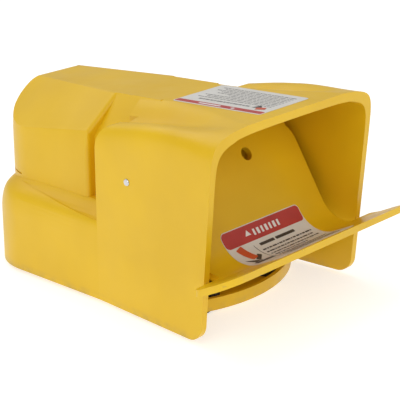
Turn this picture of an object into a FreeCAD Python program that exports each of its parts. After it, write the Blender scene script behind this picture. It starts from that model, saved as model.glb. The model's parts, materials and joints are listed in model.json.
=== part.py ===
import FreeCAD, Part
import math
import os

V = FreeCAD.Vector

# ---------------------------------------------------------------------------
# Driving sizes, all in millimetres.  +Z is up, the user's toe comes in along
# +Y from the open front, and z = 0 is the floor.  The origin is the centre of
# the floor-mounting hole pattern.  Y0 is the front foot of the guard walls.
# ---------------------------------------------------------------------------
Y0 = -130.0

# guard housing
FRONT_WIDTH = 165.0        # over the guard walls at their front feet
REAR_WIDTH = 150.0         # over the parallel rear body
FLARE_LENGTH = 101.0       # front feet to where the walls turn parallel
BODY_LENGTH = 228.0        # front feet to the rear face
REAR_CORNER_R = 43.0
WALL = 5.0
SKIRT_LOW = 3.0            # clearance of the casting above the floor
LEDGE_TOP = 60.0
EAVE_Z = 112.0             # where the guard walls turn straight
LEDGE_THICK = 5.0
WALL_REAR = FLARE_LENGTH + 1.0          # rear end of the tall guard walls
FRONT_LEAN = 0.08          # forward lean of the guard walls' front edge
FRONT_FOOT_R = 12.0
WALL_TOP_REAR_R = 18.0
WALL_TOP_REAR_Z = 127.5    # where the rear edge and the crest line would meet
CREST_RISE = 0.21          # rise of the crest line per mm towards the front
TOP_AT_FRONT = 144.0       # height of the flat top at the front feet
TOP_FALL = 0.058           # fall of the flat top per mm towards the rear
TOP_HALF = 29.0
HOOD_STEPS = 16
ROOF = 6.0
NECK_HALF = 53.0
NECK_EAVE_Z = 111.0
NECK_START = 84.0          # its front end is buried in the hood
CROWN_HALF = 41.5          # the crest line trims the hood only outside this
HUMP_HALF = REAR_WIDTH / 2.0 - 15.0
HUMP_EAVE_Z = 115.0
HUMP_FRONT = 125.0
HUMP_REAR = BODY_LENGTH - 2.0
HUMP_TOP_REAR = 19.0       # half-width of the flat top at the rear
# height and how far the hump's sides and rear lean in there
DOME_STEPS = (
    (48.0, 0.0), (100.0, 0.0), (108.0, 0.4), (115.0, 1.3), (120.0, 2.4), (124.0, 3.6),
    (127.5, 5.0), (129.6, 6.6), (131.2, 8.6), (134.0, 13.0), (140.0, 24.0))
HUMP_CORNER_R = 38.0
HUMP_WALL = 4.5
HUMP_EDGE_R = 3.0
BULKHEAD_FRONT = HUMP_FRONT - 13.0
BULKHEAD_THICK = 5.0
SHOULDER_FOOT = 44.0       # where the skirt's rear starts to lean in
# height over SHOULDER_FOOT, inset at the ledge's front, inset round the rear
SHOULDER_STEPS = (
    (0.0, 0.0, 0.0),
    (5.0, 0.0, 0.7),
    (9.0, 0.0, 1.8),
    (12.0, 0.1, 3.0),
    (14.5, 0.6, 4.4),
    (16.5, 2.0, 6.0),
    (18.5, 4.2, 8.0),
    (20.5, 7.2, 10.5),
    (22.5, 11.0, 13.5),
    (25.5, 17.0, 19.0),
)
LEDGE_LINE = ((90.0, 59.7), (118.0, 60.2), (150.0, 62.4), (194.0, 66.2), (BODY_LENGTH + 8.0, 68.6))
# height and how far the hump's foot spreads there
FLARE_STEPS = (
    (54.0, 13.0), (59.5, 13.0), (61.0, 9.5), (63.0, 6.0), (65.3, 2.9), (67.2, 1.1), (68.4, 0.5))
REVEAL_DEPTH = 1.2         # parting line round the hump's rear
REVEAL_LOW = 69.0
REVEAL_HIGH = 70.2
REVEAL_LENGTH = 30.0

# base
BASE_GAP = 0.5
BASE_UNDER = 3.0
BASE_TOP = 7.0
RIM_TOP = 12.0
RIM_THICK = 3.0
RIM_BOW_R = 110.0
RIM_FRONT = 23.5
MOUNT_X = 120.0
MOUNT_Y = 120.0
MOUNT_HOLE_R = 3.3
MOUNT_PAD_R = 9.0
BOSS_R = 7.0
HOUSING_SCREW_R = 2.5
HOUSING_SCREW_HEAD_R = 4.25
HOUSING_SCREW_HEAD_H = 2.6
HOUSING_SCREW_XY = (
    (FRONT_WIDTH / 2.0 - (FRONT_WIDTH - REAR_WIDTH) / 2.0 * 58.0 / FLARE_LENGTH - 11.193, 58.0),
    (REAR_WIDTH / 2.0 - 12.0, 118.0), (42.0, BODY_LENGTH - 15.0))
GASKET_THICK = 2.0
GASKET_WIDTH = 9.0
FOOT_R = 8.0
FOOT_XY = ((38.0, 42.0), (34.0, BODY_LENGTH - 28.0))
FOOT_SCREW_R = 2.0
FOOT_SCREW_HEAD_R = 3.6
FOOT_SCREW_HEAD_H = 1.8

# gate
PIN_R = 2.4
PIN_Y = 70.0
PIN_Z = 96.0
PIN_HALF = FRONT_WIDTH / 2.0 - (FRONT_WIDTH - REAR_WIDTH) / 2.0 * PIN_Y / FLARE_LENGTH + 0.898
GATE_HALF = REAR_WIDTH / 2.0 - WALL - 2.0
GATE_THICK = 4.5
GATE_SLOPE = 57.6          # degrees from the floor
GATE_BEND_R = 24.0
GATE_BEND_Y = -0.7
GATE_BEND_Z = 70.2
GATE_TOP_Z = 112.0
GATE_TOP_R = 16.0
LIP_SLOPE = 27.0
LIP_FRONT = -36.0
LIP_HALF = 96.0
LIP_REAR = -4.5
LIP_CORNER_R = 14.0
GATE_HOLE_R = 4.8
GATE_HOLE_X = 15.0
GATE_HOLE_Z = 98.7
LUG_IN = 60.0
LUG_OUT = 65.0
LUG_R = 8.5
GATE_BUSH_R = PIN_R + 1.8
GATE_BUSH_FLANGE_R = GATE_BUSH_R + 2.0
GATE_BUSH_FLANGE = 1.2
RUN_CLEAR = 0.05
CLIP_R = PIN_R + 2.2
CLIP_T = 0.8

# pedal
SHAFT_R = 4.0
SHAFT_Y = 135.0
SHAFT_Z = 30.0
SHAFT_HALF = 59.5
EAR_IN = 48.0
EAR_OUT = 56.0
EAR_HALF_Y = 9.0
EAR_TOP = 41.0
BUSH_R = SHAFT_R + 2.0
HUB_R = SHAFT_R + 4.0
HUB_HALF = 47.0
TREAD_HALF = 52.0
TREAD_FRONT = 22.0
TREAD_REAR = 106.0
TREAD_Z = 33.0
TREAD_T = 4.0
TREAD_RIM = 8.0
TREAD_RIM_START = 44.0
PAD_HALF = TREAD_HALF - 6.0
PAD_FRONT = TREAD_FRONT + 5.0
PAD_REAR = TREAD_REAR - 5.0
PAD_T = 1.6
PAD_RIB = 1.4
PAD_RIB_PITCH = 6.0
LEVER_HALF = 36.0
LEVER_REAR = 166.0
LEVER_Z = 27.0
LEVER_T = 5.0
SPRING_X = 30.0
SPRING_Y = 92.0
SPRING_COIL_R = 6.5
SPRING_WIRE_R = 0.9
SPRING_TURNS = 5.0
BUMPER_R = 6.0
BUMPER_X = 30.0
BUMPER_Y = 38.5
BUMPER_TOP = 18.0

# snap switches
SWITCH_X = 26.0
SWITCH_LEN = 49.2
SWITCH_DEPTH = 17.4
SWITCH_H = 24.2
SWITCH_Z = 47.0
SWITCH_FRONT = 149.0
PLUNGER_R = 2.2
PLUNGER_Y = SWITCH_FRONT + 8.7
PLUNGER_LOW = 40.0
PLUNGER_STROKE = 3.1
TIP_GAP = 0.4
SWITCH_HOLE_X = 12.7
SWITCH_HOLE_R = 2.1
SWITCH_HOLE_UP = 17.0
TERMINAL_PITCH = 14.0
ADJUST_R = 2.5
BRACKET_T = 2.0
BRACKET_HALF = 50.0
BRACKET_TOP = 72.0
BRACKET_FOOT = 15.0
POST_TOP = 9.0
BRACKET_SCREW_X = 40.0
CONDUIT_R = 10.4
CONDUIT_Z = 32.0
CONDUIT_BOSS_R = 17.0
CONDUIT_BOSS = 16.0
GROUND_X = -12.0
GROUND_Y = 192.0

# labels
TOP_LABEL_HALF = 26.0
TOP_LABEL_FRONT = 0.5
TOP_LABEL_REAR = 77.0
LABEL_T = 0.25
LABEL_GAP = 0.03
GATE_LABEL_HALF = 41.0
GATE_LABEL_TOP_Z = 61.0
GATE_LABEL_END = -30.0


# ---------------------------------------------------------------------------
# helpers
# ---------------------------------------------------------------------------
def yy(d):
    """Row Y of a distance behind the guard walls' front feet."""
    return Y0 + d


def box(x0, x1, d0, d1, z0, z1):
    """Box between two X, two distances from the front and two heights."""
    return Part.makeBox(x1 - x0, d1 - d0, z1 - z0, V(x0, yy(d0), z0))


def cyl_z(x, d, r, z0, z1):
    """Upright cylinder."""
    return Part.makeCylinder(r, z1 - z0, V(x, yy(d), z0), V(0, 0, 1))


def cyl_x(x0, x1, d, z, r):
    """Cylinder along X."""
    return Part.makeCylinder(r, x1 - x0, V(x0, yy(d), z), V(1, 0, 0))


def cyl_y(x, z, r, d0, d1):
    """Cylinder along Y."""
    return Part.makeCylinder(r, d1 - d0, V(x, yy(d0), z), V(0, 1, 0))


def fuse(shapes):
    """Union of a list of solids."""
    whole = shapes[0]
    for shape in shapes[1:]:
        whole = whole.fuse(shape)
    return whole.removeSplitter()


def join(shapes):
    """Union of a list of solids that keeps every face as it is."""
    whole = shapes[0]
    for shape in shapes[1:]:
        whole = whole.fuse(shape)
    return whole


def both(make):
    """A feature and its mirror image across X = 0."""
    return [make(-1.0), make(1.0)]


def outline(points):
    """Closed straight-sided face through the points."""
    return Part.Face(Part.makePolygon(points + [points[0]]))


def side_prism(profile, x0, x1):
    """Extrude a closed (distance, z) profile along X."""
    face = outline([V(x0, yy(d), z) for d, z in profile])
    return face.extrude(V(x1 - x0, 0, 0))


def rounded(face, radii):
    """Prism-free helper: round the corners of a flat polygon by radius."""
    edges = face.OuterWire.OrderedVertexes
    points = [vertex.Point for vertex in edges]
    count = len(points)
    parts = []
    ends = []
    for index in range(count):
        before = points[index - 1]
        here = points[index]
        after = points[(index + 1) % count]
        radius = radii[index]
        if radius <= 0.0:
            ends.append((here, here, None))
            continue
        a = (before - here).normalize()
        b = (after - here).normalize()
        half = math.acos(max(-1.0, min(1.0, a.dot(b)))) / 2.0
        reach = radius / math.tan(half)
        start = here + a * reach
        stop = here + b * reach
        centre = here + (a + b).normalize() * (radius / math.sin(half))
        middle = centre + (here - centre).normalize() * radius
        ends.append((start, stop, middle))
    for index in range(count):
        start, stop, middle = ends[index]
        if middle is not None:
            parts.append(Part.Arc(start, middle, stop).toShape())
        following = ends[(index + 1) % count][0]
        if (following - stop).Length > 1e-6:
            parts.append(Part.LineSegment(stop, following).toShape())
    return Part.Face(Part.Wire(parts))


def rounded_polygon(corners):
    """Face from (point, corner radius) pairs in order."""
    points = [corner[0] for corner in corners]
    radii = [corner[1] for corner in corners]
    face = outline(points)
    start = face.OuterWire.OrderedVertexes[0].Point
    shift = min(range(len(points)), key=lambda i: (points[i] - start).Length)
    follow = face.OuterWire.OrderedVertexes[1].Point
    ahead = points[(shift + 1) % len(points)]
    ordered = []
    for step in range(len(points)):
        index = shift + step
        if (follow - ahead).Length > 1e-6:
            index = shift - step
        ordered.append(radii[index % len(points)])
    return rounded(face, ordered)


def wall_half(d):
    """Outer half width of the flared guard walls at a distance from the front."""
    slope = (FRONT_WIDTH - REAR_WIDTH) / 2.0 / FLARE_LENGTH
    return FRONT_WIDTH / 2.0 - slope * min(d, FLARE_LENGTH)


def top_z(d):
    """Height of the falling flat top."""
    return TOP_AT_FRONT - TOP_FALL * d


def ease(value):
    """Smooth step from 0 to 1."""
    t = min(1.0, max(0.0, value))
    return t * t * (3.0 - 2.0 * t)


# ---------------------------------------------------------------------------
# guard housing
# ---------------------------------------------------------------------------
def hood_section(d, inset, drop, foot):
    """Closed cross-section wire of the hood at a distance from the front."""
    fade = ease((d + 14.0) / 88.0)
    late = ease((d - 56.0) / 50.0)
    round_off = 1.0 - ease((d + 14.0) / 60.0)
    half = wall_half(d) - inset
    top = top_z(d) + 0.8
    flat = 42.0 - 13.0 * fade
    valley = top - 1.6 - 12.4 * fade - 4.0 * late
    crest = top - 0.6 - 5.4 * fade - 4.6 * late
    right = [
        (flat * 0.5, top),
        (flat, top - 0.4),
        (flat + 8.0, top - 0.8 - 3.6 * fade - 1.2 * late),
        (flat + 17.0, valley),
        (half - 19.0, crest - 1.2 - 0.4 * round_off),
        (half - 8.0, crest + 1.2 - 5.6 * round_off),
        (half - 0.9, crest - 3.2 - 7.2 * round_off),
        (half, crest - 14.0 - 8.0 * round_off),
        (half, EAVE_Z),
    ]
    pairs = [(-x, z) for x, z in reversed(right)] + right
    points = [V(x, yy(d), z - drop) for x, z in pairs]
    curve = Part.BSplineCurve()
    curve.buildFromPoles(points, False, 3)
    low_left = V(-half, yy(d), foot)
    low_right = V(half, yy(d), foot)
    edges = [
        curve.toShape(),
        Part.LineSegment(points[-1], low_right).toShape(),
        Part.LineSegment(low_right, low_left).toShape(),
        Part.LineSegment(low_left, points[0]).toShape(),
    ]
    return Part.Wire(edges)


def hood_block(inset, drop, foot, first, last):
    """Lofted solid through the hood's cross-sections."""
    step = (last - first) / HOOD_STEPS
    stations = [first + k * step for k in range(HOOD_STEPS + 1)]
    wires = [hood_section(d, inset, drop, foot) for d in stations]
    return Part.makeLoft(wires, True, True)


def side_outline():
    """Side view of the tall guard walls, extruded across the width."""
    lean_top = 1.2 - FRONT_LEAN * 152.0
    crest_end = WALL_REAR - (152.0 - WALL_TOP_REAR_Z) / CREST_RISE
    span = FRONT_WIDTH
    corners = [
        (V(-span, yy(0.9), SKIRT_LOW), FRONT_FOOT_R),
        (V(-span, yy(WALL_REAR), SKIRT_LOW), 0.0),
        (V(-span, yy(WALL_REAR), WALL_TOP_REAR_Z), WALL_TOP_REAR_R),
        (V(-span, yy(crest_end), 152.0), 0.0),
        (V(-span, yy(lean_top), 152.0), 0.0),
    ]
    face = rounded_polygon(corners)
    return face.extrude(V(2.0 * span, 0, 0))


def plan_face(inset, front, z):
    """Plan outline of the rear body, inset from the outer face."""
    half = REAR_WIDTH / 2.0 - inset
    rear = BODY_LENGTH - inset
    radius = REAR_CORNER_R - inset
    corners = [
        (V(-half, yy(front), z), 0.0),
        (V(half, yy(front), z), 0.0),
        (V(half, yy(rear), z), radius),
        (V(-half, yy(rear), z), radius),
    ]
    return rounded_polygon(corners)


def roof_prism(half, eave_z, flat, d0, d1, sink, flat_end=None):
    """Ridge body with a sloping shoulder each side of a flat top."""
    profiles = []
    pitch = (top_z(d0) - eave_z) / (half - flat)
    flats = (flat, flat if flat_end is None else flat_end)
    for d, flat in zip((d0, d1), flats):
        top = top_z(d) - sink
        eave = eave_z - sink if flat_end is None else top - pitch * (half - flat)
        points = [
            V(-half, yy(d), SKIRT_LOW),
            V(half, yy(d), SKIRT_LOW),
            V(half, yy(d), eave),
            V(flat, yy(d), top),
            V(-flat, yy(d), top),
            V(-half, yy(d), eave),
        ]
        profiles.append(Part.makePolygon(points + [points[0]]))
    return Part.makeLoft(profiles, True, True)


def hump_plan(inset, z0, z1, front):
    """Rounded plan of the rear hump as a prism."""
    half = HUMP_HALF - inset
    rear = HUMP_REAR - inset
    radius = HUMP_CORNER_R - inset
    corners = [
        (V(-half, yy(front), z0), 0.0),
        (V(half, yy(front), z0), 0.0),
        (V(half, yy(rear), z0), radius),
        (V(-half, yy(rear), z0), radius),
    ]
    return rounded_polygon(corners).extrude(V(0, 0, z1 - z0))


def dome(inset, drop):
    """Hump's envelope, which leans in towards the top of its sides and rear."""
    wires = []
    for z, pull in DOME_STEPS:
        half = HUMP_HALF - inset - pull
        rear = HUMP_REAR - inset - pull
        radius = min(HUMP_CORNER_R - inset - pull, half - 0.5)
        corners = [
            (V(-half, yy(HUMP_FRONT - 16.0), z - drop), 0.0),
            (V(half, yy(HUMP_FRONT - 16.0), z - drop), 0.0),
            (V(half, yy(rear), z - drop), radius),
            (V(-half, yy(rear), z - drop), radius),
        ]
        wires.append(rounded_polygon(corners).OuterWire)
    return Part.makeLoft(wires, True, True)


def shield_housing():
    """One-piece guard: hood, flared walls, rear hump and skirt."""
    hood = hood_block(0.0, 0.0, SKIRT_LOW - 2.0, -14.0, WALL_REAR + 1.0)
    crown = hood.common(box(-CROWN_HALF, CROWN_HALF, 20.0, WALL_REAR, EAVE_Z, 160.0))
    hood = hood.common(side_outline()).fuse(crown)
    neck = roof_prism(NECK_HALF, NECK_EAVE_Z, TOP_HALF, NECK_START, HUMP_FRONT + 4.0, 0.0)
    neck = neck.common(box(-90, 90, NECK_START, HUMP_FRONT + 4.0, LEDGE_TOP - 8.0, 160))
    hump = roof_prism(HUMP_HALF, HUMP_EAVE_Z, TOP_HALF + 1.5, HUMP_FRONT, HUMP_REAR + 4.0, 0.0,
                      HUMP_TOP_REAR)
    hump = hump.common(hump_plan(0.0, LEDGE_TOP - 8.0, 160.0, HUMP_FRONT - 1.0))
    front_rim = []
    for edge in hump.Edges:
        bound = edge.BoundBox
        if bound.YMax < yy(HUMP_FRONT) + 0.1 and bound.ZMax > LEDGE_TOP + 2.0:
            if bound.ZMax - bound.ZMin > 1.0:
                front_rim.append(edge)
    hump = hump.makeFillet(HUMP_EDGE_R, front_rim)
    hump = hump.common(dome(0.0, 0.0))
    skirt = plan_face(0.0, WALL_REAR - 6.0, SKIRT_LOW).extrude(V(0, 0, SHOULDER_FOOT - SKIRT_LOW))
    whole = join([hood, neck, hump, skirt, ledge()])
    roof_cut = side_prism(
        [(-40, top_z(-40)), (260, top_z(260)), (260, 170), (-40, 170)], -120, 120)
    whole = whole.cut(roof_cut)
    cavity = hood_block(WALL, ROOF + 0.5, SKIRT_LOW - 8.0, -20.0, WALL_REAR - WALL - 3.0)
    neck_in = roof_prism(NECK_HALF - HUMP_WALL, NECK_EAVE_Z, TOP_HALF - 3.0, 84.0, BULKHEAD_FRONT, ROOF)
    passage = roof_prism(NECK_HALF - HUMP_WALL, NECK_EAVE_Z, TOP_HALF - 3.0,
                         BULKHEAD_FRONT + BULKHEAD_THICK, HUMP_FRONT + 2.0 * HUMP_WALL, ROOF)
    chamber = roof_prism(
        HUMP_HALF - HUMP_WALL, HUMP_EAVE_Z, TOP_HALF - 1.5,
        HUMP_FRONT + HUMP_WALL, HUMP_REAR + 4.0, 5.0, HUMP_TOP_REAR - 3.0)
    chamber = chamber.common(hump_plan(HUMP_WALL, SKIRT_LOW, 160.0, BULKHEAD_FRONT))
    deep = hump_plan(HUMP_WALL, SKIRT_LOW - 8.0, LEDGE_TOP, BULKHEAD_FRONT)
    chamber = chamber.common(fuse([dome(HUMP_WALL, HUMP_WALL), deep]))
    skirt_in = plan_face(WALL, WALL_REAR - 20.0, SKIRT_LOW - 8.0)
    skirt_in = skirt_in.extrude(V(0, 0, LEDGE_TOP - LEDGE_THICK - SKIRT_LOW + 8.0))
    for tool in (cavity, neck_in, passage, chamber, skirt_in):
        whole = whole.cut(tool)
    posts = []
    for x, d in HOUSING_SCREW_XY:
        for side in (-1.0, 1.0):
            posts.append(cyl_z(side * x, d, BOSS_R, BASE_TOP + GASKET_THICK, LEDGE_TOP - 2.0))
    whole = join([whole] + posts + [conduit_boss()])
    for x, d in HOUSING_SCREW_XY:
        for side in (-1.0, 1.0):
            whole = whole.cut(cyl_z(side * x, d, HOUSING_SCREW_R, BASE_TOP, 26.0))
    whole = whole.cut(cyl_y(0.0, CONDUIT_Z, CONDUIT_R, BODY_LENGTH - 40.0, BODY_LENGTH + 5.0))
    whole = whole.cut(cyl_x(-95.0, 95.0, PIN_Y, PIN_Z, PIN_R + RUN_CLEAR))
    return whole.cut(parting_groove()).Solids[0]


def ledge():
    """Top of the skirt: a sharp ledge in front that rises into a round shoulder."""
    wires = []
    front = WALL_REAR - 6.0
    for up, front_inset, rear_inset in SHOULDER_STEPS:
        z = SHOULDER_FOOT + up
        front_half = REAR_WIDTH / 2.0 - front_inset
        rear_half = REAR_WIDTH / 2.0 - rear_inset
        rear = BODY_LENGTH - rear_inset
        radius = REAR_CORNER_R - rear_inset
        corners = [
            (V(-front_half, yy(front), z), 0.0),
            (V(front_half, yy(front), z), 0.0),
            (V(rear_half, yy(rear), z), radius),
            (V(-rear_half, yy(rear), z), radius),
        ]
        wires.append(rounded_polygon(corners).OuterWire)
    bulk = Part.makeLoft(wires, True, True)
    return bulk.common(under_line(LEDGE_LINE, 0.0)).fuse(bulk.common(foot_flare()))


def foot_flare():
    """Hollow curve from the hump's side down to the ledge."""
    wires = []
    for z, out in FLARE_STEPS:
        half = HUMP_HALF + out
        rear = HUMP_REAR + 0.1 * out
        radius = HUMP_CORNER_R + out
        corners = [
            (V(-half, yy(WALL_REAR - 4.0), z), 0.0),
            (V(half, yy(WALL_REAR - 4.0), z), 0.0),
            (V(half, yy(rear), z), radius),
            (V(-half, yy(rear), z), radius),
        ]
        wires.append(rounded_polygon(corners).OuterWire)
    return Part.makeLoft(wires, True, True)


def under_line(line, sink):
    """Prism under a (distance, z) line, lowered by sink."""
    top = [V(-90.0, yy(d), z - sink) for d, z in line]
    low = SHOULDER_FOOT - 4.0
    curve = Part.BSplineCurve()
    curve.interpolate(top)
    front = V(-90.0, top[0].y, low)
    rear = V(-90.0, top[-1].y, low)
    edges = [
        curve.toShape(),
        Part.LineSegment(top[-1], rear).toShape(),
        Part.LineSegment(rear, front).toShape(),
        Part.LineSegment(front, top[0]).toShape(),
    ]
    return Part.Face(Part.Wire(edges)).extrude(V(180.0, 0, 0))


def parting_groove():
    """Narrow parting line round the rear of the hump's foot."""
    ring = hump_plan(0.0, REVEAL_LOW, REVEAL_HIGH, HUMP_FRONT - 1.0)
    ring = ring.cut(hump_plan(REVEAL_DEPTH, REVEAL_LOW - 1.0, REVEAL_HIGH + 1.0, HUMP_FRONT - 3.0))
    return ring.common(box(-90, 90, HUMP_REAR - REVEAL_LENGTH, HUMP_REAR + 4.0, REVEAL_LOW, REVEAL_HIGH))


def conduit_boss():
    """Thick wall behind the threaded conduit entry."""
    boss = cyl_y(0.0, CONDUIT_Z, CONDUIT_BOSS_R, BODY_LENGTH - CONDUIT_BOSS, BODY_LENGTH - 1.0)
    return boss


# ---------------------------------------------------------------------------
# base tray and what is fixed to it
# ---------------------------------------------------------------------------
def base_plan(inset, z, height):
    """Plan prism of the base: bowed front, flared sides, round rear corners."""
    gap = WALL + BASE_GAP + inset
    rear_half = REAR_WIDTH / 2.0 - gap
    rear = BODY_LENGTH - gap
    radius = REAR_CORNER_R - gap
    front_half = wall_half(20.0) - gap
    corners = [
        (V(-front_half, yy(20.0), z), 0.0),
        (V(front_half, yy(20.0), z), 0.0),
        (V(rear_half, yy(FLARE_LENGTH), z), 0.0),
        (V(rear_half, yy(rear), z), radius),
        (V(-rear_half, yy(rear), z), radius),
        (V(-rear_half, yy(FLARE_LENGTH), z), 0.0),
    ]
    body = rounded_polygon(corners).extrude(V(0, 0, height))
    bow = cyl_z(0.0, RIM_FRONT + inset + RIM_BOW_R, RIM_BOW_R, z, z + height)
    back = box(-90, 90, RIM_FRONT + RIM_BOW_R * 0.45, BODY_LENGTH + 12.0, z, z + height)
    return body.common(fuse([bow, back]))


def base_plate():
    """Cast base tray with its rim, shaft ears, posts and pads."""
    floor = base_plan(0.0, BASE_UNDER, BASE_TOP - BASE_UNDER)
    rim = base_plan(0.0, BASE_UNDER, RIM_TOP - BASE_UNDER)
    rim = rim.cut(base_plan(RIM_THICK, BASE_UNDER - 1.0, RIM_TOP))
    rim = rim.common(box(-90, 90, 0, 46.0, 0, 40))
    pieces = [floor, rim]
    pieces += both(lambda s: box(
        min(s * EAR_IN, s * EAR_OUT), max(s * EAR_IN, s * EAR_OUT),
        SHAFT_Y - EAR_HALF_Y, SHAFT_Y + EAR_HALF_Y, BASE_TOP - 1.0, EAR_TOP))
    for d in (-MOUNT_Y / 2.0, MOUNT_Y / 2.0):
        pieces += both(lambda s: cyl_z(s * MOUNT_X / 2.0, d - Y0, MOUNT_PAD_R, 0.0, BASE_TOP))
    pieces += both(lambda s: cyl_z(s * SPRING_X, SPRING_Y, SPRING_COIL_R - 1.6, BASE_TOP - 1.0, BASE_TOP + 4.0))
    foot_d = SWITCH_FRONT + SWITCH_DEPTH + BRACKET_T + BRACKET_FOOT / 2.0
    pieces += both(lambda s: cyl_z(s * BRACKET_SCREW_X, foot_d, 6.0, BASE_TOP - 1.0, POST_TOP))
    pieces.append(cyl_z(GROUND_X, GROUND_Y, 5.0, BASE_TOP - 1.0, BASE_TOP + 2.0))
    whole = fuse(pieces)
    for side in (-1.0, 1.0):
        for d in (-MOUNT_Y / 2.0, MOUNT_Y / 2.0):
            whole = whole.cut(cyl_z(side * MOUNT_X / 2.0, d - Y0, MOUNT_HOLE_R, -1.0, BASE_TOP + 1.0))
        for x, d in HOUSING_SCREW_XY:
            whole = whole.cut(cyl_z(side * x, d, HOUSING_SCREW_R + 0.3, 0.0, BASE_TOP + 1.0))
            whole = whole.cut(cyl_z(side * x, d, HOUSING_SCREW_HEAD_R + 0.4,
                                    0.0, BASE_UNDER + HOUSING_SCREW_HEAD_H - 1.2))
        for x, d in FOOT_XY:
            whole = whole.cut(cyl_z(side * x, d, FOOT_SCREW_R, 0.0, BASE_TOP + 1.0))
        whole = whole.cut(cyl_z(side * BUMPER_X, BUMPER_Y, 2.5, 0.0, BASE_TOP + 1.0))
        whole = whole.cut(cyl_z(side * BRACKET_SCREW_X, foot_d, 2.0, 4.0, POST_TOP + 1.0))
    whole = whole.cut(cyl_x(-90.0, 90.0, SHAFT_Y, SHAFT_Z, BUSH_R))
    whole = whole.cut(cyl_z(GROUND_X, GROUND_Y, 2.0, 4.0, BASE_TOP + 3.0))
    return whole


def base_gasket():
    """Rubber gasket between the base and the housing's posts."""
    ring = base_plan(0.4, BASE_TOP, GASKET_THICK)
    ring = ring.cut(base_plan(GASKET_WIDTH, BASE_TOP - 1.0, GASKET_THICK + 2.0))
    ring = ring.common(box(-90, 90, 50.0, 240, 0, 40))
    pads = []
    for x, d in HOUSING_SCREW_XY:
        for side in (-1.0, 1.0):
            pads.append(cyl_z(side * x, d, BOSS_R, BASE_TOP, BASE_TOP + GASKET_THICK))
    ring = fuse([ring] + pads)
    ring = ring.common(base_plan(0.4, BASE_TOP, GASKET_THICK))
    for x, d in HOUSING_SCREW_XY:
        for side in (-1.0, 1.0):
            ring = ring.cut(cyl_z(side * x, d, HOUSING_SCREW_R + 0.3, 0.0, 20.0))
    for side in (-1.0, 1.0):
        for d in (-MOUNT_Y / 2.0, MOUNT_Y / 2.0):
            ring = ring.cut(cyl_z(side * MOUNT_X / 2.0, d - Y0, MOUNT_PAD_R, 0.0, 20.0))
        ear = box(min(side * (EAR_IN - 1), side * (EAR_OUT + 1)), max(side * (EAR_IN - 1), side * (EAR_OUT + 1)),
                  SHAFT_Y - EAR_HALF_Y - 1, SHAFT_Y + EAR_HALF_Y + 1, 0, 40)
        ring = ring.cut(ear)
    solids = sorted(ring.Solids, key=lambda s: s.Volume)
    return Part.makeCompound([s for s in solids if s.Volume > 50.0])


def housing_screws():
    """Screws that hold the base to the housing from below."""
    screws = []
    for x, d in HOUSING_SCREW_XY:
        for side in (-1.0, 1.0):
            low = BASE_UNDER - 1.2
            head = cyl_z(side * x, d, HOUSING_SCREW_HEAD_R, low, low + HOUSING_SCREW_HEAD_H)
            shank = cyl_z(side * x, d, HOUSING_SCREW_R, low, 25.0)
            slot = hex_prism(side * x, d, 1.5, low - 0.1, low + 1.4)
            screws.append(fuse([head, shank]).cut(slot))
    return Part.makeCompound(screws)


def hex_prism(x, d, r, z0, z1):
    """Hexagonal prism of across-corner radius r."""
    points = []
    for k in range(6):
        angle = math.radians(60.0 * k)
        points.append(V(x + r * math.cos(angle), yy(d) + r * math.sin(angle), z0))
    return outline(points).extrude(V(0, 0, z1 - z0))


def rubber_feet():
    """Four rubber feet with a recess for their screws."""
    feet = []
    for x, d in FOOT_XY:
        for side in (-1.0, 1.0):
            foot = cyl_z(side * x, d, FOOT_R, 0.0, BASE_UNDER)
            foot = foot.makeFillet(0.8, [e for e in foot.Edges if e.BoundBox.ZMax < 0.01])
            foot = foot.cut(cyl_z(side * x, d, FOOT_SCREW_HEAD_R, -1.0, FOOT_SCREW_HEAD_H + 0.6))
            foot = foot.cut(cyl_z(side * x, d, FOOT_SCREW_R, -1.0, 10.0))
            feet.append(foot)
    return Part.makeCompound(feet)


def foot_screws():
    """Screws that hold the rubber feet."""
    screws = []
    for x, d in FOOT_XY:
        for side in (-1.0, 1.0):
            head = cyl_z(side * x, d, FOOT_SCREW_HEAD_R - 0.2, 0.6, FOOT_SCREW_HEAD_H + 0.6)
            shank = cyl_z(side * x, d, FOOT_SCREW_R - 0.02, 0.6, BASE_TOP - 0.2)
            slot = box(side * x - 3.0, side * x + 3.0, d - 0.4, d + 0.4, 0.5, 1.3)
            screws.append(fuse([head, shank]).cut(slot))
    return Part.makeCompound(screws)


def pedal_bumpers():
    """Rubber stops under the pedal's front."""
    stops = []
    for side in (-1.0, 1.0):
        top = cyl_z(side * BUMPER_X, BUMPER_Y, BUMPER_R, BASE_TOP, BUMPER_TOP)
        top = top.makeFillet(1.5, [e for e in top.Edges if e.BoundBox.ZMin > BUMPER_TOP - 0.1])
        stem = cyl_z(side * BUMPER_X, BUMPER_Y, 2.48, BASE_UNDER + 0.3, BASE_TOP + 1.0)
        stops.append(fuse([top, stem]))
    return Part.makeCompound(stops)


def shaft_bushings():
    """Plain bushings pressed into the base's ears."""
    bushes = []
    for side in (-1.0, 1.0):
        x0 = min(side * EAR_IN, side * EAR_OUT)
        x1 = max(side * EAR_IN, side * EAR_OUT)
        bush = cyl_x(x0, x1, SHAFT_Y, SHAFT_Z, BUSH_R - 0.02)
        bushes.append(bush.cut(cyl_x(x0 - 1, x1 + 1, SHAFT_Y, SHAFT_Z, SHAFT_R + RUN_CLEAR)))
    return Part.makeCompound(bushes)


# ---------------------------------------------------------------------------
# gate
# ---------------------------------------------------------------------------
def gate_curve(offset):
    """Points of the gate's visible face moved out along its normal."""
    slope = math.radians(GATE_SLOPE)
    rise = math.radians(LIP_SLOPE)
    radius = GATE_BEND_R - offset
    start = (GATE_BEND_Y + radius * math.sin(slope), GATE_BEND_Z - radius * math.cos(slope))
    low = (GATE_BEND_Y, GATE_BEND_Z - radius)
    stop = (GATE_BEND_Y - radius * math.sin(rise), GATE_BEND_Z - radius * math.cos(rise))
    return start, low, stop


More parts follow.
